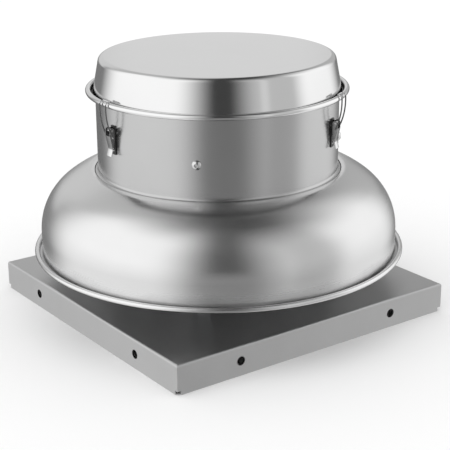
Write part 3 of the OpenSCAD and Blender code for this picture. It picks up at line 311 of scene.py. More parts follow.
    @staticmethod
    def joined(every: Sequence["Surface"]) -> "Surface":
        """One surface that holds them all, with 0 for the marks that one of them lacks.

        Args:
            every: The surfaces.

        Returns:
            The joined surface.
        """
        faces: list[list[int]] = []
        first = 0
        for one in every:
            faces += [[first + i for i in face] for face in one.faces]
            first += len(one.points)
        marks = {
            name: np.concatenate([one.marks.get(name, np.zeros(len(one.points))) for one in every])
            for name in {name for one in every for name in one.marks}
        }
        points = np.concatenate([one.points for one in every])
        return Surface(points, faces, [flat for one in every for flat in one.flat], marks)

    def as_object(self, name: str) -> bpy.types.Object:
        """Makes the object of that name, at the origin and smooth but for its flat faces.

        Args:
            name: The new object's name.

        Returns:
            The object.
        """
        mesh = bpy.data.meshes.new(name)
        mesh.from_pydata(self.points.tolist(), [], self.faces)
        mesh.validate()
        mesh.polygons.foreach_set("use_smooth", [not flat for flat in self.flat])
        for mark, values in self.marks.items():
            layer = mesh.attributes.new(mark, "FLOAT", "POINT")
            layer.data.foreach_set("value", np.ascontiguousarray(values, dtype=np.float32))
        mesh.update()
        return linked(name, mesh)


def linked(name: str, data: bpy.types.ID) -> bpy.types.Object:
    """Makes an object from its data and links it into the scene.

    Args:
        name: The object's name.
        data: Its mesh, lamp or camera.

    Returns:
        The object.
    """
    thing = bpy.data.objects.new(name, data)
    bpy.context.scene.collection.objects.link(thing)
    return thing


def near(outline: Points, place: Sequence[float], reach: float) -> Points:
    """Marks an outline's points round a place: 1 at the place, falling evenly to 0 at the reach."""
    return np.clip(1 - np.linalg.norm(outline - np.array(place), axis=1) / reach, 0, 1)


# Finishes


class Nodes:
    """Fills one node tree, with short calls for the nodes that the finishes and the studio use."""

    def __init__(self, tree: bpy.types.NodeTree) -> None:
        """Works on that tree."""
        self.tree = tree

    def add(self, kind: str, inputs: Optional[dict] = None, **settings: object) -> bpy.types.Node:
        """Adds a node.

        Args:
            kind: The node's type.
            inputs: Values, or output sockets to link, by input name or number.
            settings: The node's own properties.

        Returns:
            The node.
        """
        node = self.tree.nodes.new(kind)
        for key, value in settings.items():
            setattr(node, key, value)
        for key, value in (inputs or {}).items():
            self.give(node.inputs[key], value)
        return node

    def give(self, socket: Socket, value: object) -> None:
        """Sets a socket to a value, or links it from an output socket.

        Args:
            socket: The input socket.
            value: What it gets.
        """
        if isinstance(value, Socket):
            self.tree.links.new(value, socket)
        else:
            socket.default_value = value

    def math(self, operation: str, a: object, b: object = 0.0, clamp: bool = False) -> Socket:
        """A Math node's result for one or two values or sockets."""
        node = self.add("ShaderNodeMath", {0: a, 1: b}, operation=operation, use_clamp=clamp)
        return node.outputs[0]

    def noise(self, vector: object, scale: float, detail: float = 3.0, rough: float = 0.55) -> Socket:
        """A noise texture's value on a vector."""
        inputs = {"Vector": vector, "Scale": scale, "Detail": detail, "Roughness": rough}
        return self.add("ShaderNodeTexNoise", inputs).outputs[0]

    def ramp(
        self, value: object, low: float, high: float, out_low: float, out_high: float, kind: str = "LINEAR"
    ) -> Socket:
        """Maps a value from one range to another, held at the ends, in a straight line or a smooth step."""
        inputs = {"Value": value, "From Min": low, "From Max": high, "To Min": out_low, "To Max": out_high}
        return self.add("ShaderNodeMapRange", inputs, interpolation_type=kind).outputs[0]

    def place(self) -> Socket:
        """The object coordinates, which are the frame's own."""
        return self.add("ShaderNodeTexCoord").outputs["Object"]

    def axes(self) -> Sequence[Socket]:
        """The object coordinates' x, y and z."""
        return self.add("ShaderNodeSeparateXYZ", {0: self.place()}).outputs[:]


class Shader(Nodes):
    """Builds one material on a Principled surface."""

    def __init__(self, name: str) -> None:
        """Starts a material.

        Args:
            name: Its name.
        """
        self.material = bpy.data.materials.new(name)
        self.material.use_nodes = True
        super().__init__(self.material.node_tree)
        self.surface = self.tree.nodes["Principled BSDF"]

    def wear(self, inputs: dict[str, object]) -> None:
        """Sets or links the surface's inputs by name."""
        for name, value in inputs.items():
            self.give(self.surface.inputs[name], value)

    def mix(self, amount: object, first: object, second: object) -> Socket:
        """Mixes two colours, or sockets that hold one, by an amount from 0 to 1.

        Args:
            amount: The second colour's share.
            first: One colour.
            second: The other.

        Returns:
            The mixed colour.
        """
        node = self.add("ShaderNodeMix", data_type="RGBA", clamp_factor=True)
        self.give(node.inputs["Factor"], amount)
        for name, value in (("A", first), ("B", second)):
            self.give(node.inputs[name], (*value, 1.0) if isinstance(value, tuple) else value)
        return node.outputs["Result"]

    def spun_place(self) -> Socket:
        """Coordinates that follow a lathe: distance from the axis, height, and a drift with the turn.

        Returns:
            The vector.
        """
        x, y, z = self.axes()
        r = self.math("SQRT", self.math("ADD", self.math("MULTIPLY", x, x), self.math("MULTIPLY", y, y)))
        turn = self.math("MULTIPLY", self.math("ARCTAN2", y, x), DRIFT)
        return self.add("ShaderNodeCombineXYZ", {0: r, 1: z, 2: turn}).outputs[0]

    def hole_shade_ring(self, across: float, height: float, reach: float) -> Socket:
        """Painted shade ring: 1 round the axes of the holes in a square cap's four sides, 0 beyond the
        reach.

        A point's place along its side is the smaller of |x| and |y|, as the larger is the side's own.

        Args:
            across: Distance of a hole from the middle of its side.
            height: Height of the holes.
            reach: Radius of the painted shade ring.

        Returns:
            The value.
        """
        x, y, z = self.axes()
        smaller = self.math("MINIMUM", self.math("ABSOLUTE", x), self.math("ABSOLUTE", y))
        along, up = self.math("SUBTRACT", smaller, across), self.math("SUBTRACT", z, height)
        square = self.math("ADD", self.math("MULTIPLY", along, along), self.math("MULTIPLY", up, up))
        return self.ramp(self.math("SQRT", square), reach, reach + HOLE_SHADE_EDGE, 1.0, 0.0)

    def mark(self, name: str) -> Socket:
        """The piece's own attribute of that name, 0 on a piece that has none."""
        return self.add("ShaderNodeAttribute", attribute_name=name).outputs["Fac"]

    def bump(self, height: object, distance: float) -> None:
        """Bends the surface's normal by a height."""
        node = self.add("ShaderNodeBump", {"Height": height, "Distance": distance, "Strength": 1.0})
        self.wear({"Normal": node.outputs[0]})


@dataclass(frozen=True)
class Metal:
    """A bare or plated metal: colour, gloss, and the fine lines that its making leaves."""

    name: str
    colour: Colour
    roughness: float
    grain: Grain = Grain.NONE
    spread: float = 0.05
    anisotropy: float = 0.0
    lines: float = 900.0
    depth: float = 2e-5
    mottle: float = 0.03
    # Factor by which the edge mark lightens the colour, a painted highlight
    painted_highlight: float = 1.1
    # The cap's painted shade ring round each flange hole
    holes: tuple[float, ...] = ()
    patches: float = 14.0
    fine_share: float = 0.35
    # Roughness taken off under the painted highlight and added under the painted shade
    highlight_gloss: float = 0.05
    painted_shade_gloss: float = 0.3

    def material(self) -> bpy.types.Material:
        """Builds the material.

        Fine lines follow the lathe or the rolling direction, a slow mottle varies colour and gloss,
        and where a piece marks it, a painted highlight makes the metal lighter and smoother, and painted
        shade darkens the hollows and, on the cap, a ring round each flange hole.

        Returns:
            The material.
        """
        s = Shader(self.name)
        place = fine_place = s.place()
        if self.grain is Grain.SPUN:
            fine_place = s.spun_place()
        elif self.grain is Grain.SHEET:
            rolled = {"Vector": place, "Scale": (0.03, 1.0, 0.03)}
            fine_place = s.add("ShaderNodeMapping", rolled).outputs[0]
        fine = s.noise(fine_place, self.lines, 4.0, 0.6)
        slow = s.noise(place, self.patches, 3.0, 0.5)
        gloss = s.math("ADD", s.ramp(fine, *WIDE, -self.spread, self.spread), self.roughness)
        gloss = s.math("ADD", gloss, s.ramp(slow, *USUAL, -self.spread * 0.6, self.spread * 0.6))
        # edge marks a painted highlight and the second mark painted shade; on the cap the painted shade is
        # a ring round each flange hole instead
        edge, grime = s.mark("edge"), s.mark("grime")
        if self.holes:
            grime = s.hole_shade_ring(*self.holes)
        gloss = s.math("SUBTRACT", gloss, s.math("MULTIPLY", edge, self.highlight_gloss), clamp=True)
        gloss = s.math("ADD", gloss, s.math("MULTIPLY", grime, self.painted_shade_gloss), clamp=True)
        dark = tuple(c * (1 - self.mottle * 2) for c in self.colour)
        light = tuple(min(1.0, c * (1 + self.mottle)) for c in self.colour)
        slow_part = s.math("MULTIPLY", slow, 1 - self.fine_share)
        shade = s.math("ADD", s.math("MULTIPLY", fine, self.fine_share), slow_part)
        colour = s.mix(s.ramp(shade, *USUAL, 0.0, 1.0), dark, light)
        # Painted highlight: the edge mark lightens the colour
        colour = s.mix(edge, colour, tuple(min(1.0, c * self.painted_highlight) for c in self.colour))
        # Painted shade: the colour is mixed towards near-black where the shade mark lies, varied a little
        # by the slow mottle
        shade_share = s.ramp(s.math("ADD", grime, s.math("MULTIPLY", slow, 0.3)), *WIDE, 0.0, 1.0)
        s.wear({"Base Color": s.mix(shade_share, colour, SHADE_BLACK), "Roughness": gloss, "Metallic": 1.0})
        if self.anisotropy:
            tangent = s.add("ShaderNodeTangent", direction_type="RADIAL", axis="Z")
            s.wear({"Anisotropic": self.anisotropy, "Tangent": tangent.outputs[0]})
        s.bump(fine, self.depth)
        return s.material


@dataclass(frozen=True)
class Coated:
    """Paint, plastic, rubber or enamel: a plain body colour with a fine skin texture."""

    name: str
    colour: Colour
    roughness: float
    texture: float = 600.0
    depth: float = 4e-5
    coat: float = 0.0
    patches: float = 18.0
    shades: tuple[float, float] = (0.82, 1.15)
    least: float = 0.004
    spread: float = 0.06

    def material(self) -> bpy.types.Material:
        """Builds the material with a fine skin, a slow change of shade and an optional clear coat.

        Returns:
            The material.
        """
        s = Shader(self.name)
        place = s.place()
        skin, slow = s.noise(place, self.texture, 2.0), s.noise(place, self.patches, 3.0)
        dark = tuple(c * self.shades[0] for c in self.colour)
        light = tuple(min(1.0, c * self.shades[1] + self.least) for c in self.colour)
        colour = s.mix(s.ramp(slow, *USUAL, 0.0, 1.0), dark, light)
        gloss = s.ramp(skin, *USUAL, self.roughness - self.spread, self.roughness + self.spread)
        s.wear({"Base Color": colour, "Roughness": gloss, "Coat Weight": self.coat})
        s.bump(skin, self.depth)
        return s.material


@dataclass(frozen=True)
class Stacked:
    """Thin sheets stacked along the axis, as in a motor's core, or turns of wire laid the same way."""

    name: str
    dark: Colour
    light: Colour
    pitch: float
    metallic: float
    roughness: float
    patches: float = 260.0
    broken: float = 0.8
    bump: float = 0.2

    def material(self) -> bpy.types.Material:
        """Builds the material from a sine of the height, broken up by noise.

        Returns:
            The material.
        """
        s = Shader(self.name)
        wave = s.math("SINE", s.math("MULTIPLY", s.axes()[2], 2 * math.pi / self.pitch))
        wave = s.math("ADD", wave, s.math("MULTIPLY", s.noise(s.place(), self.patches), self.broken))
        colour = s.mix(s.ramp(wave, -0.6, 1.4, 0.0, 1.0), self.dark, self.light)
        s.wear({"Base Color": colour, "Metallic": self.metallic, "Roughness": self.roughness})
        s.bump(wave, self.pitch * self.bump)
        return s.material


def grey(shade: float) -> Colour:
    """A colour without a hue."""
    return shade, shade, shade


FINISHES = {
    f.name: f
    for f in (
        # The cap gets a painted shade ring round each flange hole
        Metal("cap_aluminium", grey(0.64), 0.42, Grain.SHEET, 0.04, 0.0, 700.0, 6e-6, 0.02, holes=HOLE_SHADE),
        # The spun and bright aluminium lighten their marked bead crests 1.1 times as a painted highlight
        Metal("spun_aluminium", grey(0.86), 0.24, Grain.SPUN, 0.015, 0.3, 700.0, 2e-6, 0.012),
        Metal("shroud_aluminium", grey(0.62), 0.24, Grain.SPUN, 0.015, 0.3, 700.0, 2e-6, 0.012),
        Metal("bright_aluminium", grey(0.88), 0.13, Grain.SPUN, 0.01, 0.3, 700.0, 1e-6, 0.008),
        Metal("wheel_aluminium", (0.72, 0.72, 0.73), 0.34, Grain.SHEET, 0.05, 0.0, 600.0),
        Metal("cast_aluminium", (0.55, 0.55, 0.56), 0.55, Grain.NONE, 0.08, 0.0, 420.0, 1.2e-4),
        Metal("zinc_steel", (0.62, 0.63, 0.64), 0.38, Grain.NONE, 0.08, 0.0, 90.0, 3e-5, 0.06),
        Metal("bright_steel", grey(0.80), 0.12, Grain.NONE, 0.03, 0.0, 500.0, 6e-6),
        # The lever's steel is darkened as painted shade and its finger tab lightened 2.5 times as a painted
        # highlight
        Metal("latch_steel", grey(0.36), 0.26, Grain.SHEET, 0.05, 0.0, 1200.0, 1e-5, 0.03, 2.5),
        # The bail's bright steel is darkened to 0.22 as painted shade and lightened 3.9 times where marked
        # as a painted highlight
        Metal("drawn_wire", grey(0.22), 0.26, Grain.NONE, 0.04, 0.0, 900.0, 6e-6, 0.03, 3.9),
        # Near-black steel that paints the latch bases' shade
        Metal("dark_steel", grey(0.10), 0.40, Grain.SHEET, 0.05, 0.0, 900.0, 1e-5),
        Coated("motor_paint", (0.055, 0.058, 0.062), 0.38, 500.0, 6e-5, 0.25),
        Stacked("core_steel", (0.10, 0.10, 0.105), (0.42, 0.42, 0.43), 0.0016, 1.0, 0.42),
        Stacked("copper_wire", (0.16, 0.05, 0.02), (0.56, 0.24, 0.10), 0.0022, 0.8, 0.32),
        Metal("bronze", (0.55, 0.38, 0.20), 0.38, Grain.NONE, 0.05, 0.0, 800.0, 3e-5),
        Coated("rubber", grey(0.018), 0.72, 700.0, 8e-5),
        Metal("black_steel", (0.06, 0.06, 0.065), 0.42, Grain.NONE, 0.06, 0.0, 500.0, 3e-5),
        Coated("black_plastic", (0.014, 0.014, 0.015), 0.30, 900.0, 2e-5, 0.3),
    )
}


@functools.cache
def finish(name: str) -> bpy.types.Material:
    """The material of that name, built when it is first asked for."""
    return FINISHES[name].material()


def dress(
    shape: Surface, name: str, slot: str, nodes: Sequence[str], body: str = "housing", look: str = ""
) -> None:
    """Makes a new piece, gives it its finish and body, and lets it stand for its CAD nodes.

    Args:
        shape: The new piece's surface.
        name: Its name.
        slot: The record's material slot.
        nodes: The CAD nodes that it replaces.
        body: The body that it rides on.
        look: The finish's name, where it isn't the slot's.
    """
    piece = shape.as_object(name)
    piece.data.materials.append(finish(look or slot))
    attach(piece, body)
    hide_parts(*nodes)
    LOG.info("%s: %d faces on %s", name, len(piece.data.polygons), body)


def dress_nodes(frame: dict) -> None:
    """Gives every CAD node that still shows the finish of its record slot.

    Args:
        frame: The loaded frame.
    """
    slots = {s["node"]: s["material_slot"] for s in frame["record"]["subparts"]}
    for name, node in frame["nodes"].items():
        for slot in node.material_slots:
            slot.material = finish(slots[name])
        LOG.info("%s wears %s", name, slots[name])


# Sub-assemblies


def rolled_bead(centre: Sequence[float], radius: float, wall: float, end: float) -> Points:
    """Section of a bead rolled outwards, upwards and back over its brim: the outside, then the inside."""
    return np.concatenate([arc(centre, radius, 180, end, 40), arc(centre, radius - wall, end, 180, 40)])


@dataclass
class Windband:
    """Spun dome with an upright skirt, a rolled bead round its rim and a lip round the shroud's foot."""

    skirt_r: float = 311.2 * MM
    rim_z: float = 106.9 * MM
    skirt_h: float = 40.4 * MM
    shoulder_r: float = 101.5 * MM
    shoulder_a: float = 35.8
    crown_r: float = 175.4 * MM
    crown_a: float = 20.9972
    lip_r: float = 25.0 * MM
    seam_r: float = 214.4 * MM
    wall: float = 1.6 * MM
    bead_r: float = 4.3 * MM
    bead_c: float = 320.2 * MM
    flange_r: float = 169.0 * MM
    lip_step: float = 2.25 * MM
    roll_end: float = -112.0
    corner: float = 0.7 * MM
    # Painted shade in the bead's hollow (offset, reach, strength) and at the seam (drop, reach, strength)
    hollow: tuple[float, float, float] = (2.5 * MM, 4 * MM, 0.6)
    seam: tuple[float, float, float] = (3 * MM, 2.4 * MM, 0.8)
    # Reach of the painted highlight on the bead's crest
    highlight_reach: float = 4 * MM

    def centres(self) -> tuple[Points, Points, Points]:
        """The middles of the shoulder's, the crown's and the lip's curves, each tangent to the next.

        Returns:
            Three points (r, z).
        """
        a, b = math.radians(self.shoulder_a), math.radians(self.crown_a)
        shoulder = np.array([self.skirt_r - self.shoulder_r, self.rim_z + self.skirt_h])
        crown = shoulder + (self.shoulder_r - self.crown_r) * np.array([math.sin(a), math.cos(a)])
        lip = crown + (self.crown_r - self.lip_r) * np.array([math.sin(b), math.cos(b)])
        return shoulder, crown, lip

    def outline(self) -> Points:
        """Closed section of the sheet: skirt, shoulder, crown and lip, the seat, and back inside.

        Returns:
            Its points (r, z).
        """
        shoulder, crown, lip = self.centres()
        t = self.wall
        end = math.degrees(math.asin((self.seam_r - lip[0]) / self.lip_r))
        end_in = math.degrees(math.asin((self.seam_r + t - lip[0]) / (self.lip_r - t)))
        lip_end = arc(lip, self.lip_r, end, end, 1)[0]
        deck = lip_end[1] - self.lip_step
        outer = [
            [[self.skirt_r, self.rim_z + t]],
            arc(shoulder, self.shoulder_r, 90, self.shoulder_a, 48),
            arc(crown, self.crown_r, self.shoulder_a, self.crown_a, 24),
            arc(lip, self.lip_r, self.crown_a, end, 12),
        ]
        flange = [[self.flange_r, deck], [self.flange_r, deck - t]]
        seat = [[lip_end[0], deck], *flange, [lip_end[0] + t, deck - t]]
        inner = [
            arc(lip, self.lip_r - t, end_in, self.crown_a, 12),
            arc(crown, self.crown_r - t, self.crown_a, self.shoulder_a, 24),
            arc(shoulder, self.shoulder_r - t, self.shoulder_a, 90, 48),
            [[self.skirt_r - t, self.rim_z]],
        ]
        bead = rolled_bead((self.bead_c, self.rim_z + self.bead_r), self.bead_r, t, self.roll_end)
        return drop_repeats(np.concatenate([*outer, seat, *inner, bead]))

    def build(self) -> None:
        """Makes the windband, with a painted highlight on its bead's crest and painted shade in the bead's
        hollow and at the seam.
        """
        outline = rounded(self.outline(), self.corner)
        (out, hollow_reach, hollow_shade), (drop, seam_reach, seam_shade) = self.hollow, self.seam
        hollow = near(outline, (self.skirt_r + out, self.rim_z + self.wall), hollow_reach)
        seam = near(outline, (self.seam_r, self.centres()[2][1] + self.lip_r - drop), seam_reach)
        # Painted shade in the bead's hollow and at the seam
        grime = np.maximum(hollow_shade * hollow, seam_shade * seam)
        # Painted highlight on the bead's crest
        crest = near(outline, (self.bead_c + self.bead_r, self.rim_z + self.bead_r), self.highlight_reach)
        surface = Surface.turned_outline(outline, grime=grime, edge=crest)
        dress(surface, "windband_shell", "spun_aluminium", ["windband"])


@dataclass
class Shroud:
    """Drum round the motor, with a flared foot and a curled top edge."""

    radius: float = 208.5 * MM
    foot_z: float = 249.804 * MM
    height: float = 154.5 * MM
    wall: float = 1.3 * MM
    flare: float = 5.3 * MM
    curl: float = 3.0 * MM
    curl_lip: float = 2.0 * MM
    corner: float = 0.5 * MM
    # Reach of the painted shade where the foot meets the windband's lip
    foot_shade_reach: float = 2.2 * MM

    def outline(self) -> Points:
        """Closed section of the sheet from the flared foot to the curled top edge and back inside.

        Returns:
            Its points (r, z).
        """
        foot = (self.radius + self.flare, self.foot_z + self.wall + self.flare)
        top = self.foot_z + self.height
        roll = (self.radius - self.curl, top - self.curl)
        lip = roll[0] - self.curl_lip
        parts = [
            arc(foot, self.flare, 180, 270, 12),
            arc(roll, self.curl, 90, 0, 12),
            [[lip, top], [lip, top - self.wall]],
            arc(roll, self.curl - self.wall, 0, 90, 8),
            arc(foot, self.flare + self.wall, 270, 180, 12),
        ]
        return drop_repeats(np.concatenate(parts))

    def build(self) -> None:
        """Makes the shroud, with painted shade where its foot meets the windband's lip."""
        outline = rounded(self.outline(), self.corner)
        # Painted shade where the foot meets the windband's lip
        foot = near(outline, (self.radius + self.flare, self.foot_z), self.foot_shade_reach)
        surface = Surface.turned_outline(outline, grime=foot)
        dress(surface, "shroud_drum", "shroud_aluminium", ["shroud"])


@dataclass
class MotorCover:
    """Spun lid: crowned top, rounded corner, tapered wall, and a brim that ends in a rolled bead."""

    curl_r: float = 205.5 * MM
    curl_z: float = 401.304 * MM
    curl: float = 3.0 * MM
    gap: float = 0.3 * MM
    wall: float = 1.3 * MM
    taper: float = 10.9
    bead_z: float = 391.804 * MM
    bead_r: float = 4.65 * MM
    bead_reach: float = 8.0 * MM
    height: float = 58.8 * MM
    corner: float = 10.0 * MM
    crown: float = 1.2 * MM
    roll_end: float = -112.0
    pole: float = 0.002
    bend: float = 0.6 * MM
    wall_top: float = 8 * MM
    # Painted shade in the channel between wall and bead (reach, strength), and the reach of the painted
    # highlight on the bead's crest
    channel: tuple[float, float] = (8 * MM, 1.2)
    highlight_reach: float = 4 * MM

    def wall_r(self, z: float) -> float:
        """Outer radius of the tapered wall at a height, set off from the shroud's curled edge.

        Args:
            z: The height.

        Returns:
            The radius.
        """
        a = math.radians(self.taper)
        off = self.curl + self.gap + self.wall - (z - self.curl_z) * math.sin(a)
        return self.curl_r + off / math.cos(a)

    def outline(self) -> Points:
        """Closed section of half the lid, from the axis down inside to the bead and back over the top.

        Returns:
            Its points (r, z).
        """
        a = math.radians(self.taper)
        top = self.bead_z + self.height
        corner_z = top - self.crown - self.corner
        corner_r = self.wall_r(corner_z + self.corner * math.sin(a)) - self.corner * math.cos(a)
        crown_r = (corner_r**2 + self.crown**2) / (2 * self.crown)
        crown_a = math.degrees(math.asin(corner_r / crown_r))
        centre, corner = (0.0, top - crown_r), (corner_r, corner_z)
        brim, t, side = self.bead_z - self.bead_r, self.wall, 90 - self.taper
        bead = (self.wall_r(brim + t) + self.bead_reach, self.bead_z)
        parts = [
            arc(centre, crown_r - t, self.pole, crown_a, 24),
            arc(corner, self.corner - t, crown_a, side, 14),
            [[self.wall_r(brim) - t / math.cos(a), brim]],
            rolled_bead(bead, self.bead_r, t, self.roll_end),
            [[self.wall_r(z), z] for z in np.linspace(brim + t, self.bead_z + self.wall_top, 12)],
            arc(corner, self.corner, side, crown_a, 18),
            arc(centre, crown_r, crown_a, self.pole, 24),
        ]
        return drop_repeats(np.concatenate(parts))

    def build(self) -> None:
        """Makes the lid, with painted shade in the channel between wall and bead and a painted highlight on
        its bead's crest.
        """
        outline = rounded(self.outline(), self.bend)
        brim, (reach, dark) = self.bead_z - self.bead_r, self.channel
        # Painted shade in the channel between wall and bead, and a painted highlight on the bead's crest
        channel = near(outline, (self.wall_r(brim) + self.bead_reach / 2, brim + self.wall), reach)
        crest = (self.wall_r(brim) + self.bead_reach + self.bead_r, self.bead_z)
        edge = near(outline, crest, self.highlight_reach)
        surface = Surface.turned_outline(outline, grime=np.clip(dark * channel, 0, 1), edge=edge)
        dress(surface, "motor_cover_lid", "bright_aluminium", ["motor_cover"], "cover")


@dataclass
class ShroudBolts:
    """Four round-headed bolts with hexagon sockets, on the diagonals of the shroud."""

    angles: tuple[float, ...] = (45.0, 135.0, 225.0, 315.0)
    shroud_r: float = 208.5 * MM
    height: float = 311.504 * MM
    head_r: float = 8.2 * MM
    head_h: float = 5.0 * MM
    shank_r: float = 4.0 * MM
    shank_l: float = 11.9 * MM
    socket_r: float = 2.9 * MM
    socket_h: float = 3.0 * MM
    rim: float = 0.4 * MM
    sides: int = 72

    def head(self) -> Surface:
        """One bolt along X: the shank, a domed head whose section is a circle's arc, and the socket.

        The dome's ball has the radius (r^2 + h^2) / (2h). The socket's rings follow a hexagon, whose
        distance from the axis is its flat's distance over the cosine of the turn from that flat.

        Returns:
            The bolt's surface.
        """
        ball = (self.head_r**2 + self.head_h**2) / (2 * self.head_h)
        widest = math.degrees(math.asin(self.head_r / ball))
        mouth = math.degrees(math.asin((self.socket_r + self.rim) / ball))
        dome = arc((0.0, self.head_h - ball), ball, widest, mouth, 14)
        shank = [[self.shank_r, -self.shank_l], [self.shank_r, 0.0], [self.head_r - self.rim, 0.0]]
        rim_h = dome[-1][1] - self.rim / 2
        socket = [[self.socket_r, rim_h], [self.socket_r, self.head_h - self.socket_h]]
        profile = np.concatenate([shank, dome, socket])
        turn = np.linspace(0, 2 * np.pi, self.sides, endpoint=False)
        around = np.ones((len(profile), self.sides))
        around[-2:] = math.cos(math.pi / 6) / np.cos((turn % (math.pi / 3)) - math.pi / 6)
        r = profile[:, :1] * around
        x = np.broadcast_to(profile[:, 1:], r.shape)
        return Surface.skin(np.stack([x, r * np.cos(turn), r * np.sin(turn)], axis=-1))

    def build(self) -> None:
        """Makes the four bolts as one piece."""
        one = self.head().moved(self.shroud_r, self.height)
        bolts = Surface.joined([one.turned(a) for a in self.angles])
        dress(bolts, "shroud_bolt_heads", "bright_steel", ["shroud_bolts"])


@dataclass
class Latches:
    """Toggle latches: base plate in painted shade, lever with a finger tab lightened as a painted
    highlight, wire bail over the bead, and pins.
    """

    angles: tuple[float, ...] = (180.0, -60.0, 60.0)
    pivot: tuple[float, float] = (216.0 * MM, 348.804 * MM)
    throw: float = 12.0 * MM
    sheet: float = 1.4 * MM
    cheek: tuple[float, float] = (6.1 * MM, 7.5 * MM)
    cheek_r: float = 4.4 * MM
    web: tuple[float, float] = (4.7 * MM, 9.0 * MM)
    web_lean: float = 5.0 * MM
    web_half: float = 7.1 * MM
    web_lip: float = 0.15 * MM
    lever_l: float = 31.0 * MM
    finger_l: float = 13.0 * MM
    finger_a: float = 74.0
    wire_r: float = 1.2 * MM
    bail_y: float = 9.2 * MM
    bead: tuple[float, float] = (220.659 * MM, 391.804 * MM)
    bead_r: float = 4.65 * MM
    bail_gap: float = 0.35 * MM
    bail_out: float = 1.4 * MM
    bow_drop: float = 6.0 * MM
    bow_top: float = 0.5 * MM
    crook: tuple[float, float] = (1.2 * MM, 5.0 * MM)
    hook_a: float = 3.0
    pin_r: float = 1.6 * MM
    pin_out: float = 0.3 * MM
    pin_sides: int = 32
    pin_dome: tuple[tuple[float, float], ...] = ((0.25, 1.0), (0.7, 0.9), (1.0, 0.6))
    barrel: tuple[float, float] = (2.9 * MM, 4.1 * MM)
    plate: tuple[float, float, float, float] = (208.6 * MM, 7.0 * MM, 306.804 * MM, 355.804 * MM)
    ear: tuple[float, float] = (4.4 * MM, 3.2 * MM)
    rim: float = 0.35 * MM
    strip_bends: tuple[float, ...] = (0.5 * MM, 4.0 * MM, 0.6 * MM, 0.6 * MM, 4.0 * MM, 0.5 * MM)
    cheek_bend: float = 1.2 * MM
    plate_bend: float = 2.0 * MM
    wire_bend: float = 2.4 * MM
    # Reaches of the painted highlights on the finger tab, on the wire over the bead and at the wire's feet
    tab_highlight: float = 0.5 * MM
    wire_highlight: float = 1.5 * MM
    foot_highlight: float = 2.5 * MM

    def lever(self) -> Surface:
        """Two cheeks on the pivot and one bent strip between them that ends in the finger tab, lightened as
        a painted highlight.

        The strip's inner bend lies at t (n1 + n2) / (1 + n1 . n2) from the outer one, with t the sheet's
        thickness and n1 and n2 the directions square to its two legs.

        Returns:
            The lever's surface.
        """
        web_x, web_top = self.web
        slope = math.atan2(self.web_lean, self.lever_l - web_top)
        out, t = math.radians(self.finger_a), self.sheet
        start = np.array([web_x + self.web_lip, -web_top])
        end = start - (self.lever_l - web_top) * np.array([math.tan(slope), 1.0])
        tip = end + self.finger_l * np.array([math.cos(out), -math.sin(out)])
        inward = np.array([-math.cos(slope), math.sin(slope)])
        under = np.array([-math.sin(out), -math.cos(out)])
        bend = end + t * (inward + under) / (1 + inward @ under)
        strip = np.array([start, end, tip, tip + t * under, bend, start + t * inward])
        strip = rounded(strip, np.array(self.strip_bends), 6, least_turn=5.0)
        # Painted highlight: the finger tab below the lower bend is lightened
        painted_highlight = np.clip((end[1] - strip[:, 1]) / self.tab_highlight, 0, 1)
        low, hip = self.cheek_r - self.lever_l, -self.throw - self.cheek_r
        side = np.array([[-self.cheek_r, hip], [-web_x / 2, low], [-self.web_lip, low], [web_x, -web_top]])
        side = rounded(side, self.cheek_bend, closed=False)
        cheek = np.concatenate([arc((0.0, 0.0), self.cheek_r, 90, -90, 20), side])
        near_y, far_y = self.cheek
        cheeks = [Surface.plate(cheek, *span, self.rim) for span in ((near_y, far_y), (-far_y, -near_y))]
        web = Surface.plate(strip, -self.web_half, self.web_half, self.rim, edge=painted_highlight)
        return Surface.joined([web, *cheeks]).moved(*self.pivot)

    def bail(self) -> Surface:
        """Wire from cheek to cheek: bowed legs up past the bead and a hook over it, with painted highlights
        at its feet and over the bead.

        The bow is a circle's arc that leaves the lever's lower pivot and ends upright below the bead.

        Returns:
            The wire's surface.
        """
        foot = self.pivot[1] - self.throw
        clear = self.bead_r + self.wire_r + self.bail_gap
        hook_a = math.radians(self.hook_a)
        hook = (self.bead[0] - clear * math.sin(hook_a), self.bead[1] + clear * math.cos(hook_a))
        bow = (self.bead[0] + self.bead_r + self.wire_r + self.bail_out, self.bead[1] - self.bow_drop)
        reach, rise = bow[0] - self.pivot[0], bow[1] - foot
        radius = (reach**2 + rise**2) / (2 * reach)
        sweep = math.degrees(math.asin(rise / radius))
        legs = arc((bow[0] - radius, bow[1]), radius, 90 + sweep, 90, 14)
        crook = (bow[0] - self.crook[0], self.bead[1] + self.crook[1])
        upper = np.array([[bow[0], self.bead[1] + self.bow_top], crook, hook])
        side = np.concatenate([[[self.pivot[0], foot]], legs, upper])
        path = np.insert(side, 1, self.bail_y, axis=1)
        path[0, 1] = self.cheek[0] + self.wire_r
        path = np.concatenate([path, (path * [1, -1, 1])[::-1]])
        path = rounded(path, self.wire_bend, 8, closed=False, least_turn=8.0)
        # Painted highlights where the wire passes over the bead and near its feet
        over_bead = (path[:, 2] - self.bead[1] - self.wire_highlight) / self.wire_highlight
        at_foot = (foot + self.foot_highlight - path[:, 2]) / self.wire_highlight
        return Surface.wire(path, self.wire_r, edge=np.clip(np.maximum(over_bead, at_foot), 0, 1))

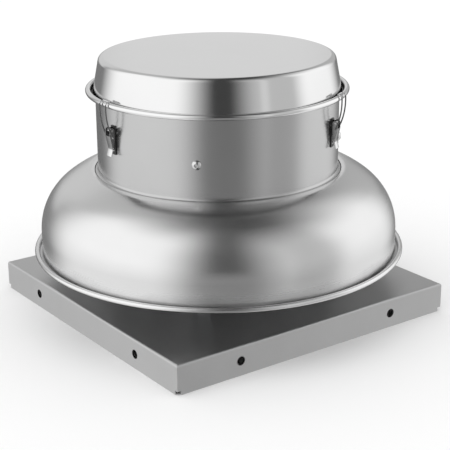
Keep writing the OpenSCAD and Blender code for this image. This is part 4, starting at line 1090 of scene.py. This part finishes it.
    def base(self) -> Surface:
        """Plate against the shroud and the two ears that hold the pin.

        Returns:
            The base's surface.
        """
        x, half, low, high = self.plate
        flat = np.array([[-half, low], [half, low], [half, high], [-half, high]])
        plate = Surface.plate(rounded(flat, self.plate_bend), 0.0, self.sheet, self.rim)
        plate = plate.placed([[0, -1, 0], [1, 0, 0], [0, 0, 1]], (x, 0.0, 0.0))
        inner, ear_r = self.ear
        middle, pz = x + self.sheet / 2, self.pivot[1]
        root = [[middle, pz + ear_r], [middle, pz - ear_r]]
        ear = np.concatenate([arc(self.pivot, ear_r, 180, 0, 20)[::-1], root])
        ears = [Surface.plate(ear, y, y + self.sheet, self.rim) for y in (inner, -inner - self.sheet)]
        return Surface.joined([plate, *ears])

    def pin(self) -> Surface:
        """Pivot pin with domed ends just outside the cheeks, and a thicker barrel between the ears.

        The section's radius runs along the pin; each step is rounded, and the ends close on the axis.

        Returns:
            The pin's surface.
        """
        end, (barrel_r, half) = self.cheek[1] + self.pin_out, self.barrel
        side = np.array([[self.pin_r, half], [barrel_r, half], [barrel_r, 0.0]])
        dome = np.array(self.pin_dome) * [self.pin_r, self.pin_out]
        dome[:, 1] += self.cheek[1]
        profile = np.concatenate([dome, rounded(side, self.rim, 3, closed=False)])
        profile = np.concatenate([profile, (profile * [1, -1])[-2::-1]])[::-1]
        turn = np.linspace(0, 2 * np.pi, self.pin_sides, endpoint=False)
        x = self.pivot[0] + profile[:, :1] * np.sin(turn)
        z = self.pivot[1] + profile[:, :1] * np.cos(turn)
        return Surface.skin(np.stack([x, np.broadcast_to(profile[:, 1:], x.shape), z], axis=-1))

    def build(self) -> None:
        """Makes each latch's base, lever and bail, and the three pins as one piece."""
        for number, angle in enumerate(self.angles, 1):
            for shape, name, body, slot, look in (
                # The bases wear near-black dark_steel as painted shade; the levers and bails wear steel
                # darkened as painted shade, with painted highlights
                (self.base(), "latch_base", "housing", "latch_steel", "dark_steel"),
                (self.lever(), "latch_lever", f"lever_{number}", "latch_steel", "latch_steel"),
                (self.bail(), "latch_bail", f"bail_{number}", "bright_steel", "drawn_wire"),
            ):
                node = f"{name}_{number}"
                dress(shape.turned(angle), node + "_piece", slot, [node], body, look)
        pins = Surface.joined([self.pin().turned(a) for a in self.angles])
        dress(pins, "latch_pin_ends", "bright_steel", ["latch_pins"])


# Studio


@dataclass(frozen=True)
class Softbox:
    """One bright or grey area of the studio that the metal mirrors.

    Turns are measured from the camera's side, positive to the picture's right, and heights from level.
    """

    turn: float
    half_width: float
    soft: float
    top: float
    soft_top: float
    strength: float
    bottom: float = -90.0
    soft_bottom: float = 1.0


@dataclass
class Studio:
    """Floor, lamp, background and the surroundings that the metal mirrors."""

    camera_turn: float = -125.613
    shell_r: float = 6.0
    floor_half: float = 40.0
    floor_shade: float = 0.97
    flag_half: float = 0.272
    flag_z: float = 0.0005
    dark: float = 0.05
    below: float = 0.72
    below_edge: tuple[float, float] = (-30.0, 8.0)
    sky: float = 0.95
    sun: float = 0.45
    sun_soft: float = 60.0
    sun_turn: float = -55.0
    sun_height: float = 55.0
    sun_far: float = 3.0
    boxes: tuple[Softbox, ...] = (
        Softbox(180.0, 110.0, 22.0, 60.0, 24.0, 0.22),
        Softbox(-71.5, 52.5, 22.0, 70.0, 25.0, 1.05),
        Softbox(107.5, 35.5, 19.0, 54.0, 26.0, 1.03),
        Softbox(56.0, 34.0, 17.0, 62.0, 25.0, 0.53),
        Softbox(43.0, 8.0, 7.0, 54.0, 25.0, 0.68),
        Softbox(180.0, 13.0, 8.0, 55.0, 14.0, 0.70),
        Softbox(0.0, 40.0, 20.0, 2.0, 12.0, 0.28),
        Softbox(-140.0, 45.0, 15.0, 72.0, 15.0, 0.50, 15.0, 12.0),
        Softbox(-160.0, 30.0, 12.0, 45.0, 15.0, 0.64, 2.0, 8.0),
        Softbox(160.0, 30.0, 12.0, 45.0, 15.0, 0.46, 2.0, 8.0),
    )

    def build(self) -> None:
        """Builds the whole studio."""
        self.build_floor()
        self.build_flag()
        self.build_shell()
        self.build_world()
        self.build_sun()

    @staticmethod
    def square(name: str, half: float, z: float) -> bpy.types.Object:
        """A level square about the axis."""
        corners = np.array([[-half, -half, z], [half, -half, z], [half, half, z], [-half, half, z]])
        return Surface(corners, [[0, 1, 2, 3]], [True]).as_object(name)

    @staticmethod
    def matt(thing: bpy.types.Object, shade: float) -> None:
        """Gives a stage piece an even grey without any shine.

        Args:
            thing: The stage piece.
            shade: Its grey.
        """
        s = Shader(thing.name)
        s.wear({"Base Color": (*grey(shade), 1.0), "Roughness": 1.0, "Specular IOR Level": 0.0})
        thing.data.materials.append(s.material)

    def build_floor(self) -> None:
        """A plain pale floor that keeps the object's shadow and isn't mirrored."""
        floor = self.square("studio_floor", self.floor_half, 0.0)
        self.matt(floor, self.floor_shade)
        floor.visible_glossy = False

    def build_flag(self) -> None:
        """A black card inside the curb cap's foot, only mirrored, so that nothing shines up into it."""
        flag = self.square("studio_flag", self.flag_half, self.flag_z)
        self.matt(flag, 0.0)
        self.only_mirrored(flag)

    def build_shell(self) -> None:
        """A sphere of softboxes round the object that only the metal's reflections see."""
        height = np.radians(np.linspace(-89.5, 89.5, 48))[:, None]
        turn = np.radians(np.linspace(0, 360, 96, endpoint=False))[None, :]
        rings = [np.cos(turn) * np.cos(height), np.sin(turn) * np.cos(height), np.sin(height) + 0 * turn]
        shell = Surface.skin(self.shell_r * np.stack(rings, axis=-1)).as_object("studio_shell")
        shell.data.materials.append(self.shell_material())
        self.only_mirrored(shell)

    @staticmethod
    def only_mirrored(thing: bpy.types.Object) -> None:
        """Hides a stage piece from all but the rays that the metal mirrors.

        Args:
            thing: The stage piece.
        """
        thing.visible_camera = thing.visible_diffuse = thing.visible_shadow = False
        thing.visible_transmission = thing.visible_volume_scatter = False

    def shell_material(self) -> bpy.types.Material:
        """Glow by direction: the brightest of the softboxes, each with soft edges, weaker below level.

        Returns:
            The material.
        """
        s = Shader("studio_shell")
        s.tree.nodes.remove(s.surface)
        x, y, z = s.axes()
        height = s.math("ARCSINE", s.math("DIVIDE", z, self.shell_r))
        turn = s.math("ARCTAN2", y, x)
        total: object = self.dark
        for box in self.boxes:
            off = s.math("SUBTRACT", turn, math.radians(self.camera_turn + box.turn))
            wrap = s.add("ShaderNodeMath", {0: off, 1: math.pi, 2: -math.pi}, operation="WRAP")
            side = self.fade(s, s.math("ABSOLUTE", wrap.outputs[0]), box.half_width, box.soft)
            top = self.fade(s, height, box.top, box.soft_top)
            bottom = self.fade(s, s.math("MULTIPLY", height, -1.0), -box.bottom, box.soft_bottom)
            upright = s.math("MULTIPLY", bottom, box.strength)
            glow = s.math("MULTIPLY", s.math("MULTIPLY", side, top), upright)
            total = s.math("MAXIMUM", total, glow)
        low = s.ramp(height, *(math.radians(a) for a in self.below_edge), self.below, 1.0)
        emission = s.add("ShaderNodeEmission", {"Strength": s.math("MULTIPLY", total, low)})
        s.give(s.tree.nodes["Material Output"].inputs["Surface"], emission.outputs[0])
        s.material.cycles.emission_sampling = "NONE"
        return s.material

    @staticmethod
    def fade(s: Shader, value: object, edge: float, soft: float) -> Socket:
        """A smooth step from 1 to 0 round an edge, with its half width, both in degrees."""
        return s.ramp(value, math.radians(edge - soft), math.radians(edge + soft), 1.0, 0.0, "SMOOTHSTEP")

    def build_world(self) -> None:
        """White to the camera and to reflections, and a plain soft level for what it lights."""
        world = bpy.data.worlds.new("studio")
        bpy.context.scene.world = world
        world.use_nodes = True
        world.node_tree.nodes.clear()
        s = Nodes(world.node_tree)
        path = s.add("ShaderNodeLightPath").outputs
        seen = s.math("MAXIMUM", path["Is Camera Ray"], path["Is Glossy Ray"])
        seen = s.math("MAXIMUM", seen, path["Is Transmission Ray"])
        lights = [
            s.add("ShaderNodeBackground", {"Color": (*grey(1.0), 1.0), "Strength": power}).outputs[0]
            for power in (self.sky, 1.0)
        ]
        mix = s.add("ShaderNodeMixShader", {0: seen, 1: lights[0], 2: lights[1]})
        s.add("ShaderNodeOutputWorld", {"Surface": mix.outputs[0]})

    def build_sun(self) -> None:
        """One very soft lamp from the upper left, which models the dull pieces and isn't mirrored."""
        data = bpy.data.lights.new("lamp", "SUN")
        data.energy, data.angle = self.sun, math.radians(self.sun_soft)
        lamp = linked("lamp", data)
        a, e = math.radians(self.camera_turn + self.sun_turn), math.radians(self.sun_height)
        spot = self.sun_far * Vector((math.cos(a) * math.cos(e), math.sin(a) * math.cos(e), math.sin(e)))
        turn = (-spot).to_track_quat("-Z", "Y").to_matrix().to_4x4()
        lamp.matrix_world = Matrix.Translation(spot) @ turn
        lamp.visible_glossy = False


@dataclass
class Camera:
    """The photograph's view: a long lens a little above the fan, facing one corner of the curb cap."""

    turn: float = -35.6128
    height: float = 19.1070
    roll: float = -0.4864
    target: tuple[float, float, float] = (0.0, 0.0, 0.1398)
    distance: float = 2.2363
    lens: float = 100.68
    sensor: float = 36.0
    shift: tuple[float, float] = (0.0145, 0.0007)
    clip: tuple[float, float] = (0.05, 200.0)

    def build(self) -> None:
        """Makes the camera and sets it as the scene's own."""
        data = bpy.data.cameras.new("camera")
        data.lens, data.sensor_width, data.sensor_fit = self.lens, self.sensor, "HORIZONTAL"
        data.shift_x, data.shift_y = self.shift
        data.clip_start, data.clip_end = self.clip
        camera = linked("camera", data)
        a, e, r = (math.radians(v) for v in (self.turn, self.height, self.roll))
        back = Vector((math.sin(a) * math.cos(e), -math.cos(a) * math.cos(e), math.sin(e)))
        right = Vector((math.cos(a), math.sin(a), 0.0))
        up = back.cross(right)
        x_axis = math.cos(r) * right + math.sin(r) * up
        y_axis = -math.sin(r) * right + math.cos(r) * up
        spot = Vector(self.target) + self.distance * back
        turn = Matrix((x_axis, y_axis, back)).transposed().to_4x4()
        camera.matrix_world = Matrix.Translation(spot) @ turn
        bpy.context.scene.camera = camera


def main() -> None:
    """Loads the frame and builds the camera, the studio and each sub-assembly in order."""
    logging.basicConfig(level=logging.INFO, format="%(name)s: %(message)s")
    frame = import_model()
    bpy.context.scene.view_settings.view_transform = "Standard"
    Camera().build()
    Studio().build()
    for part in (Windband(), Shroud(), MotorCover(), ShroudBolts(), Latches()):
        part.build()
    dress_nodes(frame)


if __name__ == "__main__":
    main()
